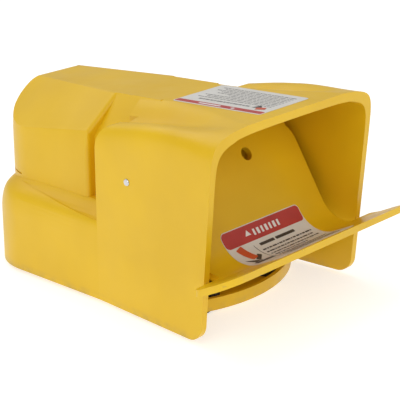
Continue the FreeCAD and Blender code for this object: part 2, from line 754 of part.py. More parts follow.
def on_plate(z, offset):
    """Distance from the front of the offset plate face at height z."""
    start = gate_curve(offset)[0]
    return start[0] + (z - start[1]) / math.tan(math.radians(GATE_SLOPE))


def on_lip(d, offset):
    """Height of the offset lip face at a distance from the front."""
    stop = gate_curve(offset)[2]
    return stop[1] + (stop[0] - d) * math.tan(math.radians(LIP_SLOPE))


def gate_sheet(low, high, z_top, d_end, x0, x1):
    """Sheet between two offsets of the gate's face, extruded across."""
    def point(pair):
        return V(x0, yy(pair[0]), pair[1])
    edges = []
    a0, a1, a2 = gate_curve(high)
    b0, b1, b2 = gate_curve(low)
    top_a = (on_plate(z_top, high), z_top)
    slope = math.radians(GATE_SLOPE)
    shift = high - low
    top_b = (top_a[0] + shift * math.sin(slope), top_a[1] - shift * math.cos(slope))
    end_a = (d_end, on_lip(d_end, high))
    rise = math.radians(LIP_SLOPE)
    end_b = (end_a[0] - shift * math.sin(rise), end_a[1] - shift * math.cos(rise))
    edges.append(Part.LineSegment(point(top_a), point(a0)).toShape())
    edges.append(Part.Arc(point(a0), point(a1), point(a2)).toShape())
    edges.append(Part.LineSegment(point(a2), point(end_a)).toShape())
    edges.append(Part.LineSegment(point(end_a), point(end_b)).toShape())
    edges.append(Part.LineSegment(point(end_b), point(b2)).toShape())
    edges.append(Part.Arc(point(b2), point(b1), point(b0)).toShape())
    edges.append(Part.LineSegment(point(b0), point(top_b)).toShape())
    edges.append(Part.LineSegment(point(top_b), point(top_a)).toShape())
    return Part.Face(Part.Wire(edges)).extrude(V(x1 - x0, 0, 0))


def gate_plan():
    """Plan of the gate: a plate between the walls and a wider lip in front."""
    corners = [
        (V(-GATE_HALF, yy(90.0), 0), 0.0),
        (V(-GATE_HALF, yy(LIP_REAR), 0), 4.0),
        (V(-LIP_HALF, yy(LIP_REAR), 0), 6.0),
        (V(-LIP_HALF, yy(LIP_FRONT), 0), LIP_CORNER_R),
        (V(LIP_HALF, yy(LIP_FRONT), 0), LIP_CORNER_R),
        (V(LIP_HALF, yy(LIP_REAR), 0), 6.0),
        (V(GATE_HALF, yy(LIP_REAR), 0), 4.0),
        (V(GATE_HALF, yy(90.0), 0), 0.0),
    ]
    return rounded_polygon(corners).extrude(V(0, 0, 150.0))


def gate_front():
    """Front outline of the gate: rounded upper corners, full width below."""
    shoulder = GATE_TOP_Z - 2.0 * GATE_TOP_R
    low = GATE_TOP_Z - 100.0
    corners = [
        (V(-LIP_HALF, yy(-60.0), low), 0.0),
        (V(LIP_HALF, yy(-60.0), low), 0.0),
        (V(LIP_HALF, yy(-60.0), shoulder), 0.0),
        (V(GATE_HALF, yy(-60.0), shoulder), 0.0),
        (V(GATE_HALF, yy(-60.0), GATE_TOP_Z + 0.1), GATE_TOP_R),
        (V(-GATE_HALF, yy(-60.0), GATE_TOP_Z + 0.1), GATE_TOP_R),
        (V(-GATE_HALF, yy(-60.0), shoulder), 0.0),
        (V(-LIP_HALF, yy(-60.0), shoulder), 0.0),
    ]
    return rounded_polygon(corners).extrude(V(0, 180.0, 0))


def safety_gate():
    """Hinged toe-lift gate with its two hinge lugs."""
    sheet = gate_sheet(-GATE_THICK, 0.0, GATE_TOP_Z, LIP_FRONT, -LIP_HALF, LIP_HALF)
    sheet = sheet.common(gate_plan()).common(gate_front())
    slope = math.radians(GATE_SLOPE)
    lugs = []
    for side in (-1.0, 1.0):
        x0 = min(side * LUG_IN, side * LUG_OUT)
        x1 = max(side * LUG_IN, side * LUG_OUT)
        profile = [
            (on_plate(GATE_TOP_Z - 2.0, -1.0), GATE_TOP_Z - 2.0),
            (on_plate(74.0, -1.0), 74.0),
            (PIN_Y - 1.0, PIN_Z - LUG_R),
            (PIN_Y, PIN_Z + LUG_R),
        ]
        web = side_prism(profile, x0, x1)
        eye = cyl_x(x0, x1, PIN_Y, PIN_Z, LUG_R)
        lugs.append(fuse([web, eye]))
    whole = fuse([sheet] + lugs)
    centre = V(GATE_HOLE_X, yy(on_plate(GATE_HOLE_Z, 0.0)), GATE_HOLE_Z)
    normal = V(0, -math.sin(slope), math.cos(slope))
    punch = Part.makeCylinder(GATE_HOLE_R, 30.0, centre - normal * 15.0, normal)
    whole = whole.cut(punch)
    whole = whole.cut(cyl_x(-90.0, 90.0, PIN_Y, PIN_Z, GATE_BUSH_R))
    return whole


def gate_bushings():
    """Flanged bushings in the gate's lugs, turning on the pin."""
    bushes = []
    for side in (-1.0, 1.0):
        x0 = min(side * LUG_IN, side * LUG_OUT)
        x1 = max(side * LUG_IN, side * LUG_OUT)
        sleeve = cyl_x(x0, x1, PIN_Y, PIN_Z, GATE_BUSH_R - 0.02)
        f0 = min(side * LUG_OUT, side * (LUG_OUT + GATE_BUSH_FLANGE))
        f1 = max(side * LUG_OUT, side * (LUG_OUT + GATE_BUSH_FLANGE))
        flange = cyl_x(f0, f1, PIN_Y, PIN_Z, GATE_BUSH_FLANGE_R)
        bush = fuse([sleeve, flange])
        bushes.append(bush.cut(cyl_x(-90.0, 90.0, PIN_Y, PIN_Z, PIN_R + RUN_CLEAR)))
    return Part.makeCompound(bushes)


def gate_pin():
    """Cross pin through both guard walls, grooved for its clips."""
    pin = cyl_x(-PIN_HALF, PIN_HALF, PIN_Y, PIN_Z, PIN_R)
    pin = pin.makeChamfer(0.4, [e for e in pin.Edges if len(e.Vertexes) == 1])
    for side in (-1.0, 1.0):
        x0 = side * (LUG_IN - 2.0) - CLIP_T / 2.0
        groove = cyl_x(x0 - 0.1, x0 + CLIP_T + 0.1, PIN_Y, PIN_Z, PIN_R + 1.0)
        groove = groove.cut(cyl_x(x0 - 1, x0 + CLIP_T + 1, PIN_Y, PIN_Z, PIN_R - 0.6))
        pin = pin.cut(groove)
    return pin


def gate_pin_clips():
    """Open retaining clips inside the gate's lugs."""
    clips = []
    for side in (-1.0, 1.0):
        x0 = side * (LUG_IN - 2.0) - CLIP_T / 2.0
        ring = cyl_x(x0, x0 + CLIP_T, PIN_Y, PIN_Z, CLIP_R)
        ring = ring.cut(cyl_x(x0 - 1, x0 + CLIP_T + 1, PIN_Y, PIN_Z, PIN_R - 0.55))
        mouth = box(x0 - 1, x0 + CLIP_T + 1, PIN_Y - 1.4, PIN_Y + 1.4, PIN_Z - 10, PIN_Z)
        clips.append(ring.cut(mouth))
    return Part.makeCompound(clips)


def coil(centre, axis, radius, wire_r, turns, length):
    """Coil spring solid along an axis from its centre point."""
    helix = Part.makeHelix(length / turns, length, radius)
    start = V(radius, 0, 0)
    section = Part.Wire(Part.makeCircle(wire_r, start, V(0, 1, 0)))
    body = Part.Wire(helix.Edges).makePipeShell([section], True, True)
    turn = FreeCAD.Rotation(V(0, 0, 1), axis)
    body.Placement = FreeCAD.Placement(centre, turn)
    return body


def gate_spring():
    """Torsion spring coiled round the gate pin beside one lug."""
    body = coil(V(-54.0, yy(PIN_Y), PIN_Z), V(1, 0, 0), 4.6, 0.8, 7.0, 14.0)
    return body


# ---------------------------------------------------------------------------
# pedal
# ---------------------------------------------------------------------------
def pedal():
    """Treadle plate, side rims, arms, hub tube and rear lever."""
    plate = box(-TREAD_HALF, TREAD_HALF, TREAD_FRONT, TREAD_REAR, TREAD_Z, TREAD_Z + TREAD_T)
    corners = [e for e in plate.Edges if abs(e.BoundBox.ZMax - e.BoundBox.ZMin) > 1.0
               and e.BoundBox.YMax < yy(TREAD_FRONT) + 0.1]
    plate = plate.makeFillet(8.0, corners)
    pieces = [plate]
    pieces += both(lambda s: box(
        min(s * (TREAD_HALF - 4.0), s * TREAD_HALF), max(s * (TREAD_HALF - 4.0), s * TREAD_HALF),
        TREAD_RIM_START, TREAD_REAR, TREAD_Z - TREAD_RIM, TREAD_Z + 1.0))
    arm = [
        (TREAD_REAR - 40.0, TREAD_Z + 1.0),
        (TREAD_REAR - 40.0, TREAD_Z - 2.0),
        (TREAD_REAR - 4.0, SHAFT_Z - 6.0),
        (SHAFT_Y, SHAFT_Z - 6.0),
        (SHAFT_Y, SHAFT_Z + 6.0),
        (TREAD_REAR, TREAD_Z + TREAD_T),
        (TREAD_REAR - 10.0, TREAD_Z + TREAD_T),
    ]
    pieces += both(lambda s: side_prism(arm, min(s * 38.0, s * 46.0), max(s * 38.0, s * 46.0)))
    pieces.append(cyl_x(-HUB_HALF, HUB_HALF, SHAFT_Y, SHAFT_Z, HUB_R))
    pieces.append(box(-LEVER_HALF, LEVER_HALF, SHAFT_Y, LEVER_REAR, LEVER_Z, LEVER_Z + LEVER_T))
    pieces += both(lambda s: side_prism(
        [(SHAFT_Y, LEVER_Z - 4.0), (LEVER_REAR - 4.0, LEVER_Z), (LEVER_REAR - 4.0, LEVER_Z + 1.0),
         (SHAFT_Y, LEVER_Z + 1.0)], min(s * 10.0, s * 14.0), max(s * 10.0, s * 14.0)))
    whole = fuse(pieces)
    whole = whole.cut(cyl_x(-90.0, 90.0, SHAFT_Y, SHAFT_Z, SHAFT_R + 0.02))
    for side in (-1.0, 1.0):
        whole = whole.cut(cyl_z(side * SWITCH_X, PLUNGER_Y, ADJUST_R, 0.0, 60.0))
        whole = whole.cut(cyl_z(side * 30.0, SHAFT_Y, 2.0, SHAFT_Z, 60.0))
    return whole


def tread_pad():
    """Ribbed rubber pad on the treadle."""
    pad = box(-PAD_HALF, PAD_HALF, PAD_FRONT, PAD_REAR, TREAD_Z + TREAD_T, TREAD_Z + TREAD_T + PAD_T)
    top = TREAD_Z + TREAD_T + PAD_T
    pieces = [pad]
    count = int((PAD_REAR - PAD_FRONT - 4.0) / PAD_RIB_PITCH)
    for k in range(count + 1):
        d = PAD_FRONT + 2.0 + k * PAD_RIB_PITCH
        pieces.append(box(-PAD_HALF + 2.0, PAD_HALF - 2.0, d, d + 2.6, top - 0.2, top + PAD_RIB))
    return fuse(pieces)


def pedal_shaft():
    """Shaft the pedal turns with."""
    shaft = cyl_x(-SHAFT_HALF, SHAFT_HALF, SHAFT_Y, SHAFT_Z, SHAFT_R)
    shaft = shaft.makeChamfer(0.6, [e for e in shaft.Edges if len(e.Vertexes) == 1])
    for side in (-1.0, 1.0):
        x0 = side * (EAR_OUT + 1.2) - 0.5
        ring = cyl_x(x0 - 0.05, x0 + 1.05, SHAFT_Y, SHAFT_Z, SHAFT_R + 1.0)
        shaft = shaft.cut(ring.cut(cyl_x(x0 - 1, x0 + 2, SHAFT_Y, SHAFT_Z, SHAFT_R - 0.7)))
        shaft = shaft.cut(cyl_z(side * 30.0, SHAFT_Y, 2.0, SHAFT_Z + 2.5, SHAFT_Z + 10.0))
    return shaft


def shaft_rings():
    """Retaining rings at the shaft's ends."""
    rings = []
    for side in (-1.0, 1.0):
        x0 = side * (EAR_OUT + 1.2) - 0.5
        ring = cyl_x(x0, x0 + 1.0, SHAFT_Y, SHAFT_Z, SHAFT_R + 2.6)
        ring = ring.cut(cyl_x(x0 - 1, x0 + 2, SHAFT_Y, SHAFT_Z, SHAFT_R - 0.65))
        rings.append(ring.cut(box(x0 - 1, x0 + 2, SHAFT_Y - 1.6, SHAFT_Y + 1.6, SHAFT_Z - 12, SHAFT_Z)))
    return Part.makeCompound(rings)


def hub_set_screws():
    """Set screws that lock the hub to the shaft."""
    screws = []
    for side in (-1.0, 1.0):
        screw = cyl_z(side * 30.0, SHAFT_Y, 1.98, SHAFT_Z + 2.6, SHAFT_Z + HUB_R + 0.6)
        screws.append(screw.cut(hex_prism(side * 30.0, SHAFT_Y, 1.1, SHAFT_Z + HUB_R - 1.4, SHAFT_Z + HUB_R + 1.0)))
    return Part.makeCompound(screws)


def adjusting_screws():
    """Adjusting screws in the lever, under each plunger."""
    screws = []
    top = PLUNGER_LOW - TIP_GAP
    for side in (-1.0, 1.0):
        shank = cyl_z(side * SWITCH_X, PLUNGER_Y, ADJUST_R - 0.02, LEVER_Z - 3.0, top)
        shank = shank.makeFillet(1.2, [e for e in shank.Edges if e.BoundBox.ZMin > top - 0.1])
        head = hex_prism(side * SWITCH_X, PLUNGER_Y, 4.4, LEVER_Z - 5.4, LEVER_Z - 2.0)
        screws.append(fuse([shank, head]))
    return Part.makeCompound(screws)


def adjusting_nuts():
    """Lock nuts on top of the lever."""
    nuts = []
    for side in (-1.0, 1.0):
        nut = hex_prism(side * SWITCH_X, PLUNGER_Y, 4.6, LEVER_Z + LEVER_T, LEVER_Z + LEVER_T + 3.2)
        nuts.append(nut.cut(cyl_z(side * SWITCH_X, PLUNGER_Y, ADJUST_R, 0.0, 60.0)))
    return Part.makeCompound(nuts)


def pedal_springs():
    """Two compression springs under the treadle."""
    springs = []
    length = TREAD_Z - BASE_TOP - 2.0 * SPRING_WIRE_R - 0.4
    for side in (-1.0, 1.0):
        base = V(side * SPRING_X, yy(SPRING_Y), BASE_TOP + SPRING_WIRE_R + 0.2)
        springs.append(coil(base, V(0, 0, 1), SPRING_COIL_R, SPRING_WIRE_R, SPRING_TURNS, length))
    return Part.makeCompound(springs)


# ---------------------------------------------------------------------------
# snap switches
# ---------------------------------------------------------------------------
def switch_body(side):
    """Moulded snap switch with its plunger hole and two mounting holes."""
    x = side * SWITCH_X
    body = box(x - SWITCH_LEN / 2.0, x + SWITCH_LEN / 2.0, SWITCH_FRONT, SWITCH_FRONT + SWITCH_DEPTH,
               SWITCH_Z, SWITCH_Z + SWITCH_H)
    body = body.makeFillet(1.2, [e for e in body.Edges if abs(e.BoundBox.YLength - SWITCH_DEPTH) < 0.1])
    collar = cyl_z(x, PLUNGER_Y, 4.5, SWITCH_Z - 2.0, SWITCH_Z + 1.0)
    body = fuse([body, collar])
    body = body.cut(cyl_z(x, PLUNGER_Y, PLUNGER_R + RUN_CLEAR, SWITCH_Z - 5.0, SWITCH_Z + 10.0))
    for k in (-1.0, 1.0):
        body = body.cut(cyl_y(x + k * SWITCH_HOLE_X, SWITCH_Z + SWITCH_HOLE_UP, SWITCH_HOLE_R,
                              SWITCH_FRONT - 5.0, SWITCH_FRONT + SWITCH_DEPTH + 5.0))
    for k in (-1.0, 0.0, 1.0):
        post = cyl_z(x + k * TERMINAL_PITCH, PLUNGER_Y, 1.6, SWITCH_Z + SWITCH_H - 5.0, SWITCH_Z + SWITCH_H + 1.0)
        body = body.cut(post)
    return body


def plunger(side):
    """Switch plunger with a domed end."""
    rod = cyl_z(side * SWITCH_X, PLUNGER_Y, PLUNGER_R, PLUNGER_LOW, SWITCH_Z + 6.0)
    rod = rod.makeFillet(1.0, [e for e in rod.Edges if e.BoundBox.ZMax < PLUNGER_LOW + 0.1])
    return rod


def terminal_clamps():
    """Brass terminal plates on top of both switches."""
    plates = []
    z0 = SWITCH_Z + SWITCH_H
    for side in (-1.0, 1.0):
        for k in (-1.0, 0.0, 1.0):
            x = side * SWITCH_X + k * TERMINAL_PITCH
            plate = box(x - 4.5, x + 4.5, PLUNGER_Y - 5.0, PLUNGER_Y + 5.0, z0, z0 + 1.0)
            plates.append(plate.cut(cyl_z(x, PLUNGER_Y, 1.65, z0 - 1.0, z0 + 3.0)))
    return Part.makeCompound(plates)


def terminal_screws():
    """Binding screws of the terminals."""
    screws = []
    z0 = SWITCH_Z + SWITCH_H + 1.0
    for side in (-1.0, 1.0):
        for k in (-1.0, 0.0, 1.0):
            x = side * SWITCH_X + k * TERMINAL_PITCH
            screw = fuse([cyl_z(x, PLUNGER_Y, 3.4, z0, z0 + 2.2), cyl_z(x, PLUNGER_Y, 1.58, z0 - 5.4, z0 + 1.0)])
            screws.append(screw.cut(box(x - 4, x + 4, PLUNGER_Y - 0.4, PLUNGER_Y + 0.4, z0 + 1.2, z0 + 3.0)))
    return Part.makeCompound(screws)


def switch_bracket():
    """Bent steel bracket that carries both switches."""
    back = SWITCH_FRONT + SWITCH_DEPTH
    wall = box(-BRACKET_HALF, BRACKET_HALF, back, back + BRACKET_T, POST_TOP, BRACKET_TOP)
    foot = box(-BRACKET_HALF, BRACKET_HALF, back, back + BRACKET_T + BRACKET_FOOT, POST_TOP, POST_TOP + BRACKET_T)
    window = box(-18.0, 18.0, back - 1.0, back + BRACKET_T + 1.0, 16.0, 44.0)
    bracket = fuse([wall, foot]).cut(window)
    for side in (-1.0, 1.0):
        for k in (-1.0, 1.0):
            x = side * SWITCH_X + k * SWITCH_HOLE_X
            bracket = bracket.cut(cyl_y(x, SWITCH_Z + SWITCH_HOLE_UP, SWITCH_HOLE_R, back - 5, back + 9))
        d = back + BRACKET_T + BRACKET_FOOT / 2.0
        bracket = bracket.cut(cyl_z(side * BRACKET_SCREW_X, d, 2.3, 0.0, 20.0))
    return bracket


def switch_screws():
    """Long screws through the switches and the bracket."""
    screws = []
    back = SWITCH_FRONT + SWITCH_DEPTH + BRACKET_T
    z = SWITCH_Z + SWITCH_HOLE_UP
    for side in (-1.0, 1.0):
        for k in (-1.0, 1.0):
            x = side * SWITCH_X + k * SWITCH_HOLE_X
            head = cyl_y(x, z, 3.6, SWITCH_FRONT - 2.4, SWITCH_FRONT)
            shank = cyl_y(x, z, 2.0, SWITCH_FRONT - 1.0, back + 5.0)
            slot = box(x - 4, x + 4, SWITCH_FRONT - 3.0, SWITCH_FRONT - 1.4, z - 0.4, z + 0.4)
            screws.append(fuse([head, shank]).cut(slot))
    return Part.makeCompound(screws)


def switch_nuts():
    """Nuts behind the bracket."""
    nuts = []
    back = SWITCH_FRONT + SWITCH_DEPTH + BRACKET_T
    z = SWITCH_Z + SWITCH_HOLE_UP
    for side in (-1.0, 1.0):
        for k in (-1.0, 1.0):
            x = side * SWITCH_X + k * SWITCH_HOLE_X
            points = []
            for step in range(6):
                angle = math.radians(60.0 * step)
                points.append(V(x + 4.0 * math.cos(angle), yy(back), z + 4.0 * math.sin(angle)))
            nut = outline(points).extrude(V(0, 3.2, 0))
            nuts.append(nut.cut(cyl_y(x, z, 2.02, back - 1.0, back + 5.0)))
    return Part.makeCompound(nuts)


def bracket_screws():
    """Screws that hold the bracket to the base posts."""
    screws = []
    d = SWITCH_FRONT + SWITCH_DEPTH + BRACKET_T + BRACKET_FOOT / 2.0
    z0 = POST_TOP + BRACKET_T
    for side in (-1.0, 1.0):
        x = side * BRACKET_SCREW_X
        screw = fuse([cyl_z(x, d, 3.8, z0, z0 + 2.6), cyl_z(x, d, 1.98, 4.4, z0 + 1.0)])
        screws.append(screw.cut(box(x - 4, x + 4, d - 0.4, d + 0.4, z0 + 1.4, z0 + 4.0)))
    return Part.makeCompound(screws)


def ground_screw():
    """Earthing screw on the base."""
    z0 = BASE_TOP + 2.0
    screw = fuse([cyl_z(GROUND_X, GROUND_Y, 4.2, z0, z0 + 2.4), cyl_z(GROUND_X, GROUND_Y, 1.98, 4.4, z0 + 1.0)])
    return screw.cut(box(GROUND_X - 5, GROUND_X + 5, GROUND_Y - 0.5, GROUND_Y + 0.5, z0 + 1.2, z0 + 4.0))


# ---------------------------------------------------------------------------
# labels
# ---------------------------------------------------------------------------
def top_label():
    """Thin label on the falling flat top."""
    points = []
    for x, d in ((-1, TOP_LABEL_FRONT), (1, TOP_LABEL_FRONT), (1, TOP_LABEL_REAR), (-1, TOP_LABEL_REAR)):
        points.append((V(x * TOP_LABEL_HALF, yy(d), top_z(d) + LABEL_GAP), 2.0))
    return rounded_polygon(points).extrude(V(0, 0, LABEL_T))


def gate_label():
    """Thin label that follows the gate's bend down to the lip."""
    return gate_sheet(LABEL_GAP, LABEL_GAP + LABEL_T, GATE_LABEL_TOP_Z, GATE_LABEL_END,
                      -GATE_LABEL_HALF, GATE_LABEL_HALF)


NODES = (
    ("shield_housing", shield_housing),
    ("base_plate", base_plate),
    ("base_gasket", base_gasket),
    ("housing_screws", housing_screws),
    ("rubber_feet", rubber_feet),
    ("foot_screws", foot_screws),
    ("pedal_bumpers", pedal_bumpers),
    ("shaft_bushings", shaft_bushings),
    ("gate_pin", gate_pin),
    ("gate_pin_clips", gate_pin_clips),
    ("safety_gate", safety_gate),
    ("gate_bushings", gate_bushings),
    ("gate_spring", gate_spring),
    ("pedal", pedal),
    ("tread_pad", tread_pad),
    ("pedal_shaft", pedal_shaft),
    ("shaft_rings", shaft_rings),
    ("hub_set_screws", hub_set_screws),
    ("adjusting_screws", adjusting_screws),
    ("adjusting_nuts", adjusting_nuts),
    ("pedal_springs", pedal_springs),
    ("switch_body_left", lambda: switch_body(-1.0)),
    ("switch_body_right", lambda: switch_body(1.0)),
    ("plunger_left", lambda: plunger(-1.0)),
    ("plunger_right", lambda: plunger(1.0)),
    ("terminal_clamps", terminal_clamps),
    ("terminal_screws", terminal_screws),
    ("switch_bracket", switch_bracket),
    ("switch_screws", switch_screws),
    ("switch_nuts", switch_nuts),
    ("bracket_screws", bracket_screws),
    ("ground_screw", ground_screw),
    ("top_label", top_label),
    ("gate_label", gate_label),
)

os.makedirs("parts", exist_ok=True)
for node, make in NODES:
    shape = make()
    valid = shape.isValid()
    print(node, "valid" if valid else "NOT VALID", len(shape.Solids), round(shape.Volume, 1))
    shape.exportStep("parts/" + node + ".step")
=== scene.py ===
"""Visual model of a guarded, cast foot switch with a toe-lift gate.

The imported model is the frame.  Its nodes keep their places and get broken
edges, clean shading and procedural finishes.  Both printed labels and the
thread of the conduit entry are made here.
All sizes are in metres: +Z is up, +Y is the way the toe goes in.
"""
import json
import logging
import math
from dataclasses import dataclass, field
from enum import Enum
from typing import Callable, Iterable, Protocol, Sequence

import bmesh
import bpy
from mathutils import Matrix, Vector


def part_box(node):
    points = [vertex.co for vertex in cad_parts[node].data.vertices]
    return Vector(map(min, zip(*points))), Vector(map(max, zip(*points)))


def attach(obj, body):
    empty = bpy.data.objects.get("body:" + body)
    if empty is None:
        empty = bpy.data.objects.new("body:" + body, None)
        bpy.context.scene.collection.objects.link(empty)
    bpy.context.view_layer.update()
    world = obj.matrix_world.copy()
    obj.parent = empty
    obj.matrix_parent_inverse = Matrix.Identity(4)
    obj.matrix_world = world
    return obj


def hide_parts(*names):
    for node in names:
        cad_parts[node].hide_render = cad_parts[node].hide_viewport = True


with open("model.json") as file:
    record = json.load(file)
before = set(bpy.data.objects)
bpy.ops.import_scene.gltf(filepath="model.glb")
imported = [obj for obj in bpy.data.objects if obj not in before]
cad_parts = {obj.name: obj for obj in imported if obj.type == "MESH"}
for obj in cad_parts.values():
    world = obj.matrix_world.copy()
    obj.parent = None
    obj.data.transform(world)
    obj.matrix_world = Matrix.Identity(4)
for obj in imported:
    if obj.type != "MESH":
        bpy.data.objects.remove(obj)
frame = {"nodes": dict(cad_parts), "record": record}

LOG = logging.getLogger("foot_switch")
MM = 0.001
FRONT_Y = -130.0 * MM      # front feet of the guard walls
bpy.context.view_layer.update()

SHADE_ANGLE = 34.0         # edges sharper than this, in degrees, stay sharp
EDGE_ANGLE = 40.0          # edges sharper than this get broken
NODE_WELD = 0.004 * MM     # joins the loose triangles of a CAD node
PIECE_WELD = 0.0005 * MM   # joins doubled corners of a new piece

Colour = tuple[float, float, float]
Span = tuple[float, float]
MIDDLE: Span = (0.3, 0.7)  # where most of a noise's values lie


# ---------------------------------------------------------------------------
# finishes
# ---------------------------------------------------------------------------
class Board:
    """Lays out the shader nodes of one material."""

    def __init__(self, name: str) -> None:
        """Start an empty material.

        Args:
            name: name of the material.
        """
        self.material = bpy.data.materials.new(name)
        self.material.use_nodes = True
        self.tree = self.material.node_tree
        self.tree.nodes.clear()
        self.shader = self.add("ShaderNodeBsdfPrincipled")
        output = self.add("ShaderNodeOutputMaterial")
        self.link(self.shader.outputs["BSDF"], output.inputs["Surface"])
        self.place = self.add("ShaderNodeTexCoord").outputs["Object"]

    def add(self, kind: str, **sockets: object) -> bpy.types.Node:
        """Add a node and set its input sockets.

        Args:
            kind: the node's type.
            sockets: values by socket name, with _ for a space.

        Returns:
            The new node.
        """
        node = self.tree.nodes.new(kind)
        for name, value in sockets.items():
            node.inputs[name.replace("_", " ")].default_value = value
        return node

    def link(self, start: bpy.types.NodeSocket, end: bpy.types.NodeSocket) -> None:
        """Connect an output to an input."""
        self.tree.links.new(start, end)

    def noise(self, scale: float, detail: float = 2.0,
              stretch: Colour | None = None) -> bpy.types.NodeSocket:
        """Noise on the piece's own coordinates.

        Args:
            scale: features per metre.
            detail: octaves.
            stretch: optional scale of each axis, for a brushed grain.

        Returns:
            The noise's factor socket.
        """
        texture = self.add("ShaderNodeTexNoise", Scale=scale, Detail=detail)
        source = self.place
        if stretch is not None:
            mapping = self.add("ShaderNodeMapping")
            mapping.inputs["Scale"].default_value = stretch
            self.link(self.place, mapping.inputs["Vector"])
            source = mapping.outputs["Vector"]
        self.link(source, texture.inputs["Vector"])
        return texture.outputs["Fac"]

    def span(self, source: bpy.types.NodeSocket, start: Span, end: Span) -> bpy.types.NodeSocket:
        """Map a value's range onto another, clamped.

        Args:
            source: the value.
            start: its low and high end.
            end: what the ends become.

        Returns:
            The mapped value's socket.
        """
        node = self.add("ShaderNodeMapRange")
        for name, value in (("From Min", start[0]), ("From Max", start[1]),
                            ("To Min", end[0]), ("To Max", end[1])):
            node.inputs[name].default_value = value
        self.link(source, node.inputs["Value"])
        return node.outputs["Result"]

    def times(self, first: bpy.types.NodeSocket,
              second: bpy.types.NodeSocket) -> bpy.types.NodeSocket:
        """Product of two values.

        Args:
            first: one value.
            second: the other value.

        Returns:
            The product's socket.
        """
        node = self.add("ShaderNodeMath")
        node.operation = "MULTIPLY"
        self.link(first, node.inputs[0])
        self.link(second, node.inputs[1])
        return node.outputs["Value"]

    def blend(self, factor: bpy.types.NodeSocket, first: Colour | bpy.types.NodeSocket,
              second: Colour) -> bpy.types.NodeSocket:
        """Mix two colours.

        Args:
            factor: share of the second colour.
            first: a colour or a colour socket.
            second: the other colour.

        Returns:
            The mixed colour's socket.
        """
        node = self.add("ShaderNodeMix")
        node.data_type = "RGBA"
        colours = [socket for socket in node.inputs if socket.type == "RGBA"]
        self.link(factor, node.inputs[0])
        if isinstance(first, tuple):
            colours[0].default_value = (*first, 1.0)
        else:
            self.link(first, colours[0])
        colours[1].default_value = (*second, 1.0)
        return [socket for socket in node.outputs if socket.type == "RGBA"][0]

    def height(self, axis: str) -> bpy.types.NodeSocket:
        """One coordinate of the surface point.

        Args:
            axis: X, Y or Z.

        Returns:
            The coordinate's socket.
        """
        split = self.add("ShaderNodeSeparateXYZ")
        self.link(self.place, split.inputs["Vector"])
        return split.outputs[axis]

    def bumps(self, layers: Sequence[tuple[bpy.types.NodeSocket, float, float]]) -> None:
        """Stack bump layers and connect them to the shader.

        Args:
            layers: (height, strength, distance in metres) of each layer.
        """
        last = None
        for source, strength, distance in layers:
            bump = self.add("ShaderNodeBump", Strength=strength, Distance=distance)
            self.link(source, bump.inputs["Height"])
            if last is not None:
                self.link(last, bump.inputs["Normal"])
            last = bump.outputs["Normal"]
        self.link(last, self.shader.inputs["Normal"])

    def constants(self, **sockets: float) -> None:
        """Set constants on the shader's own sockets."""
        for name, value in sockets.items():
            self.shader.inputs[name.replace("_", " ")].default_value = value


class Finish(Protocol):
    """Anything that can make a material."""

    name: str

    def build(self) -> bpy.types.Material:
        """Make the material."""


@dataclass(frozen=True)
class PowderCoat:
    """Satin powder coat over a casting, with scales in features per metre."""

    name: str
    colour: Colour
    deep: Colour
    rough: Span = (0.34, 0.46)
    peel: float = 0.10
    primer: Colour = (0.20, 0.17, 0.12)
    grime_top: float = 9.0 * MM
    drift_scale: float = 16.0
    drift_span: Span = (0.35, 0.68)
    speck_scale: float = 1500.0
    speck_span: Span = (0.60, 0.78)
    speck_share: float = 0.22
    grime_scale: float = 120.0
    grime_span: Span = (0.38, 0.72)
    grime_share: float = 0.55
    chip_scale: float = 260.0
    chip_span: Span = (0.69, 0.72)
    chip_share: float = 0.7
    chip_reach: Span = (FRONT_Y - 12.0 * MM, FRONT_Y - 36.0 * MM)
    sheen_scale: float = 38.0
    peel_scale: float = 430.0
    peel_depth: float = 0.25 * MM
    wave_scale: float = 60.0
    wave_strength: float = 0.12
    wave_depth: float = 0.5 * MM

    def build(self) -> bpy.types.Material:
        """Coat with slow colour drift, orange peel, grime low down and a few chips.

        Returns:
            The material.
        """
        board = Board(self.name)
        drift = board.span(board.noise(self.drift_scale, 3.0), self.drift_span, (0.0, 1.0))
        colour = board.blend(drift, self.colour, self.deep)
        speck = board.span(board.noise(self.speck_scale, 1.0), self.speck_span,
                           (0.0, self.speck_share))
        colour = board.blend(speck, colour, self.deep)
        low = board.span(board.height("Z"), (0.0, self.grime_top), (1.0, 0.0))
        patchy = board.span(board.noise(self.grime_scale, 4.0), self.grime_span,
                            (0.0, self.grime_share))
        colour = board.blend(board.times(low, patchy), colour, self.primer)
        chips = board.span(board.noise(self.chip_scale, 3.0), self.chip_span,
                           (0.0, self.chip_share))
        front = board.span(board.height("Y"), self.chip_reach, (0.0, 1.0))
        colour = board.blend(board.times(chips, front), colour, self.primer)
        board.link(colour, board.shader.inputs["Base Color"])
        sheen = board.span(board.noise(self.sheen_scale, 3.0), MIDDLE, self.rough)
        board.link(sheen, board.shader.inputs["Roughness"])
        board.constants(IOR=1.42, Coat_Weight=0.06, Coat_Roughness=0.25)
        board.bumps([
            (board.noise(self.peel_scale, 2.0), self.peel, self.peel_depth),
            (board.noise(self.wave_scale, 2.0), self.wave_strength, self.wave_depth),
        ])
        return board.material


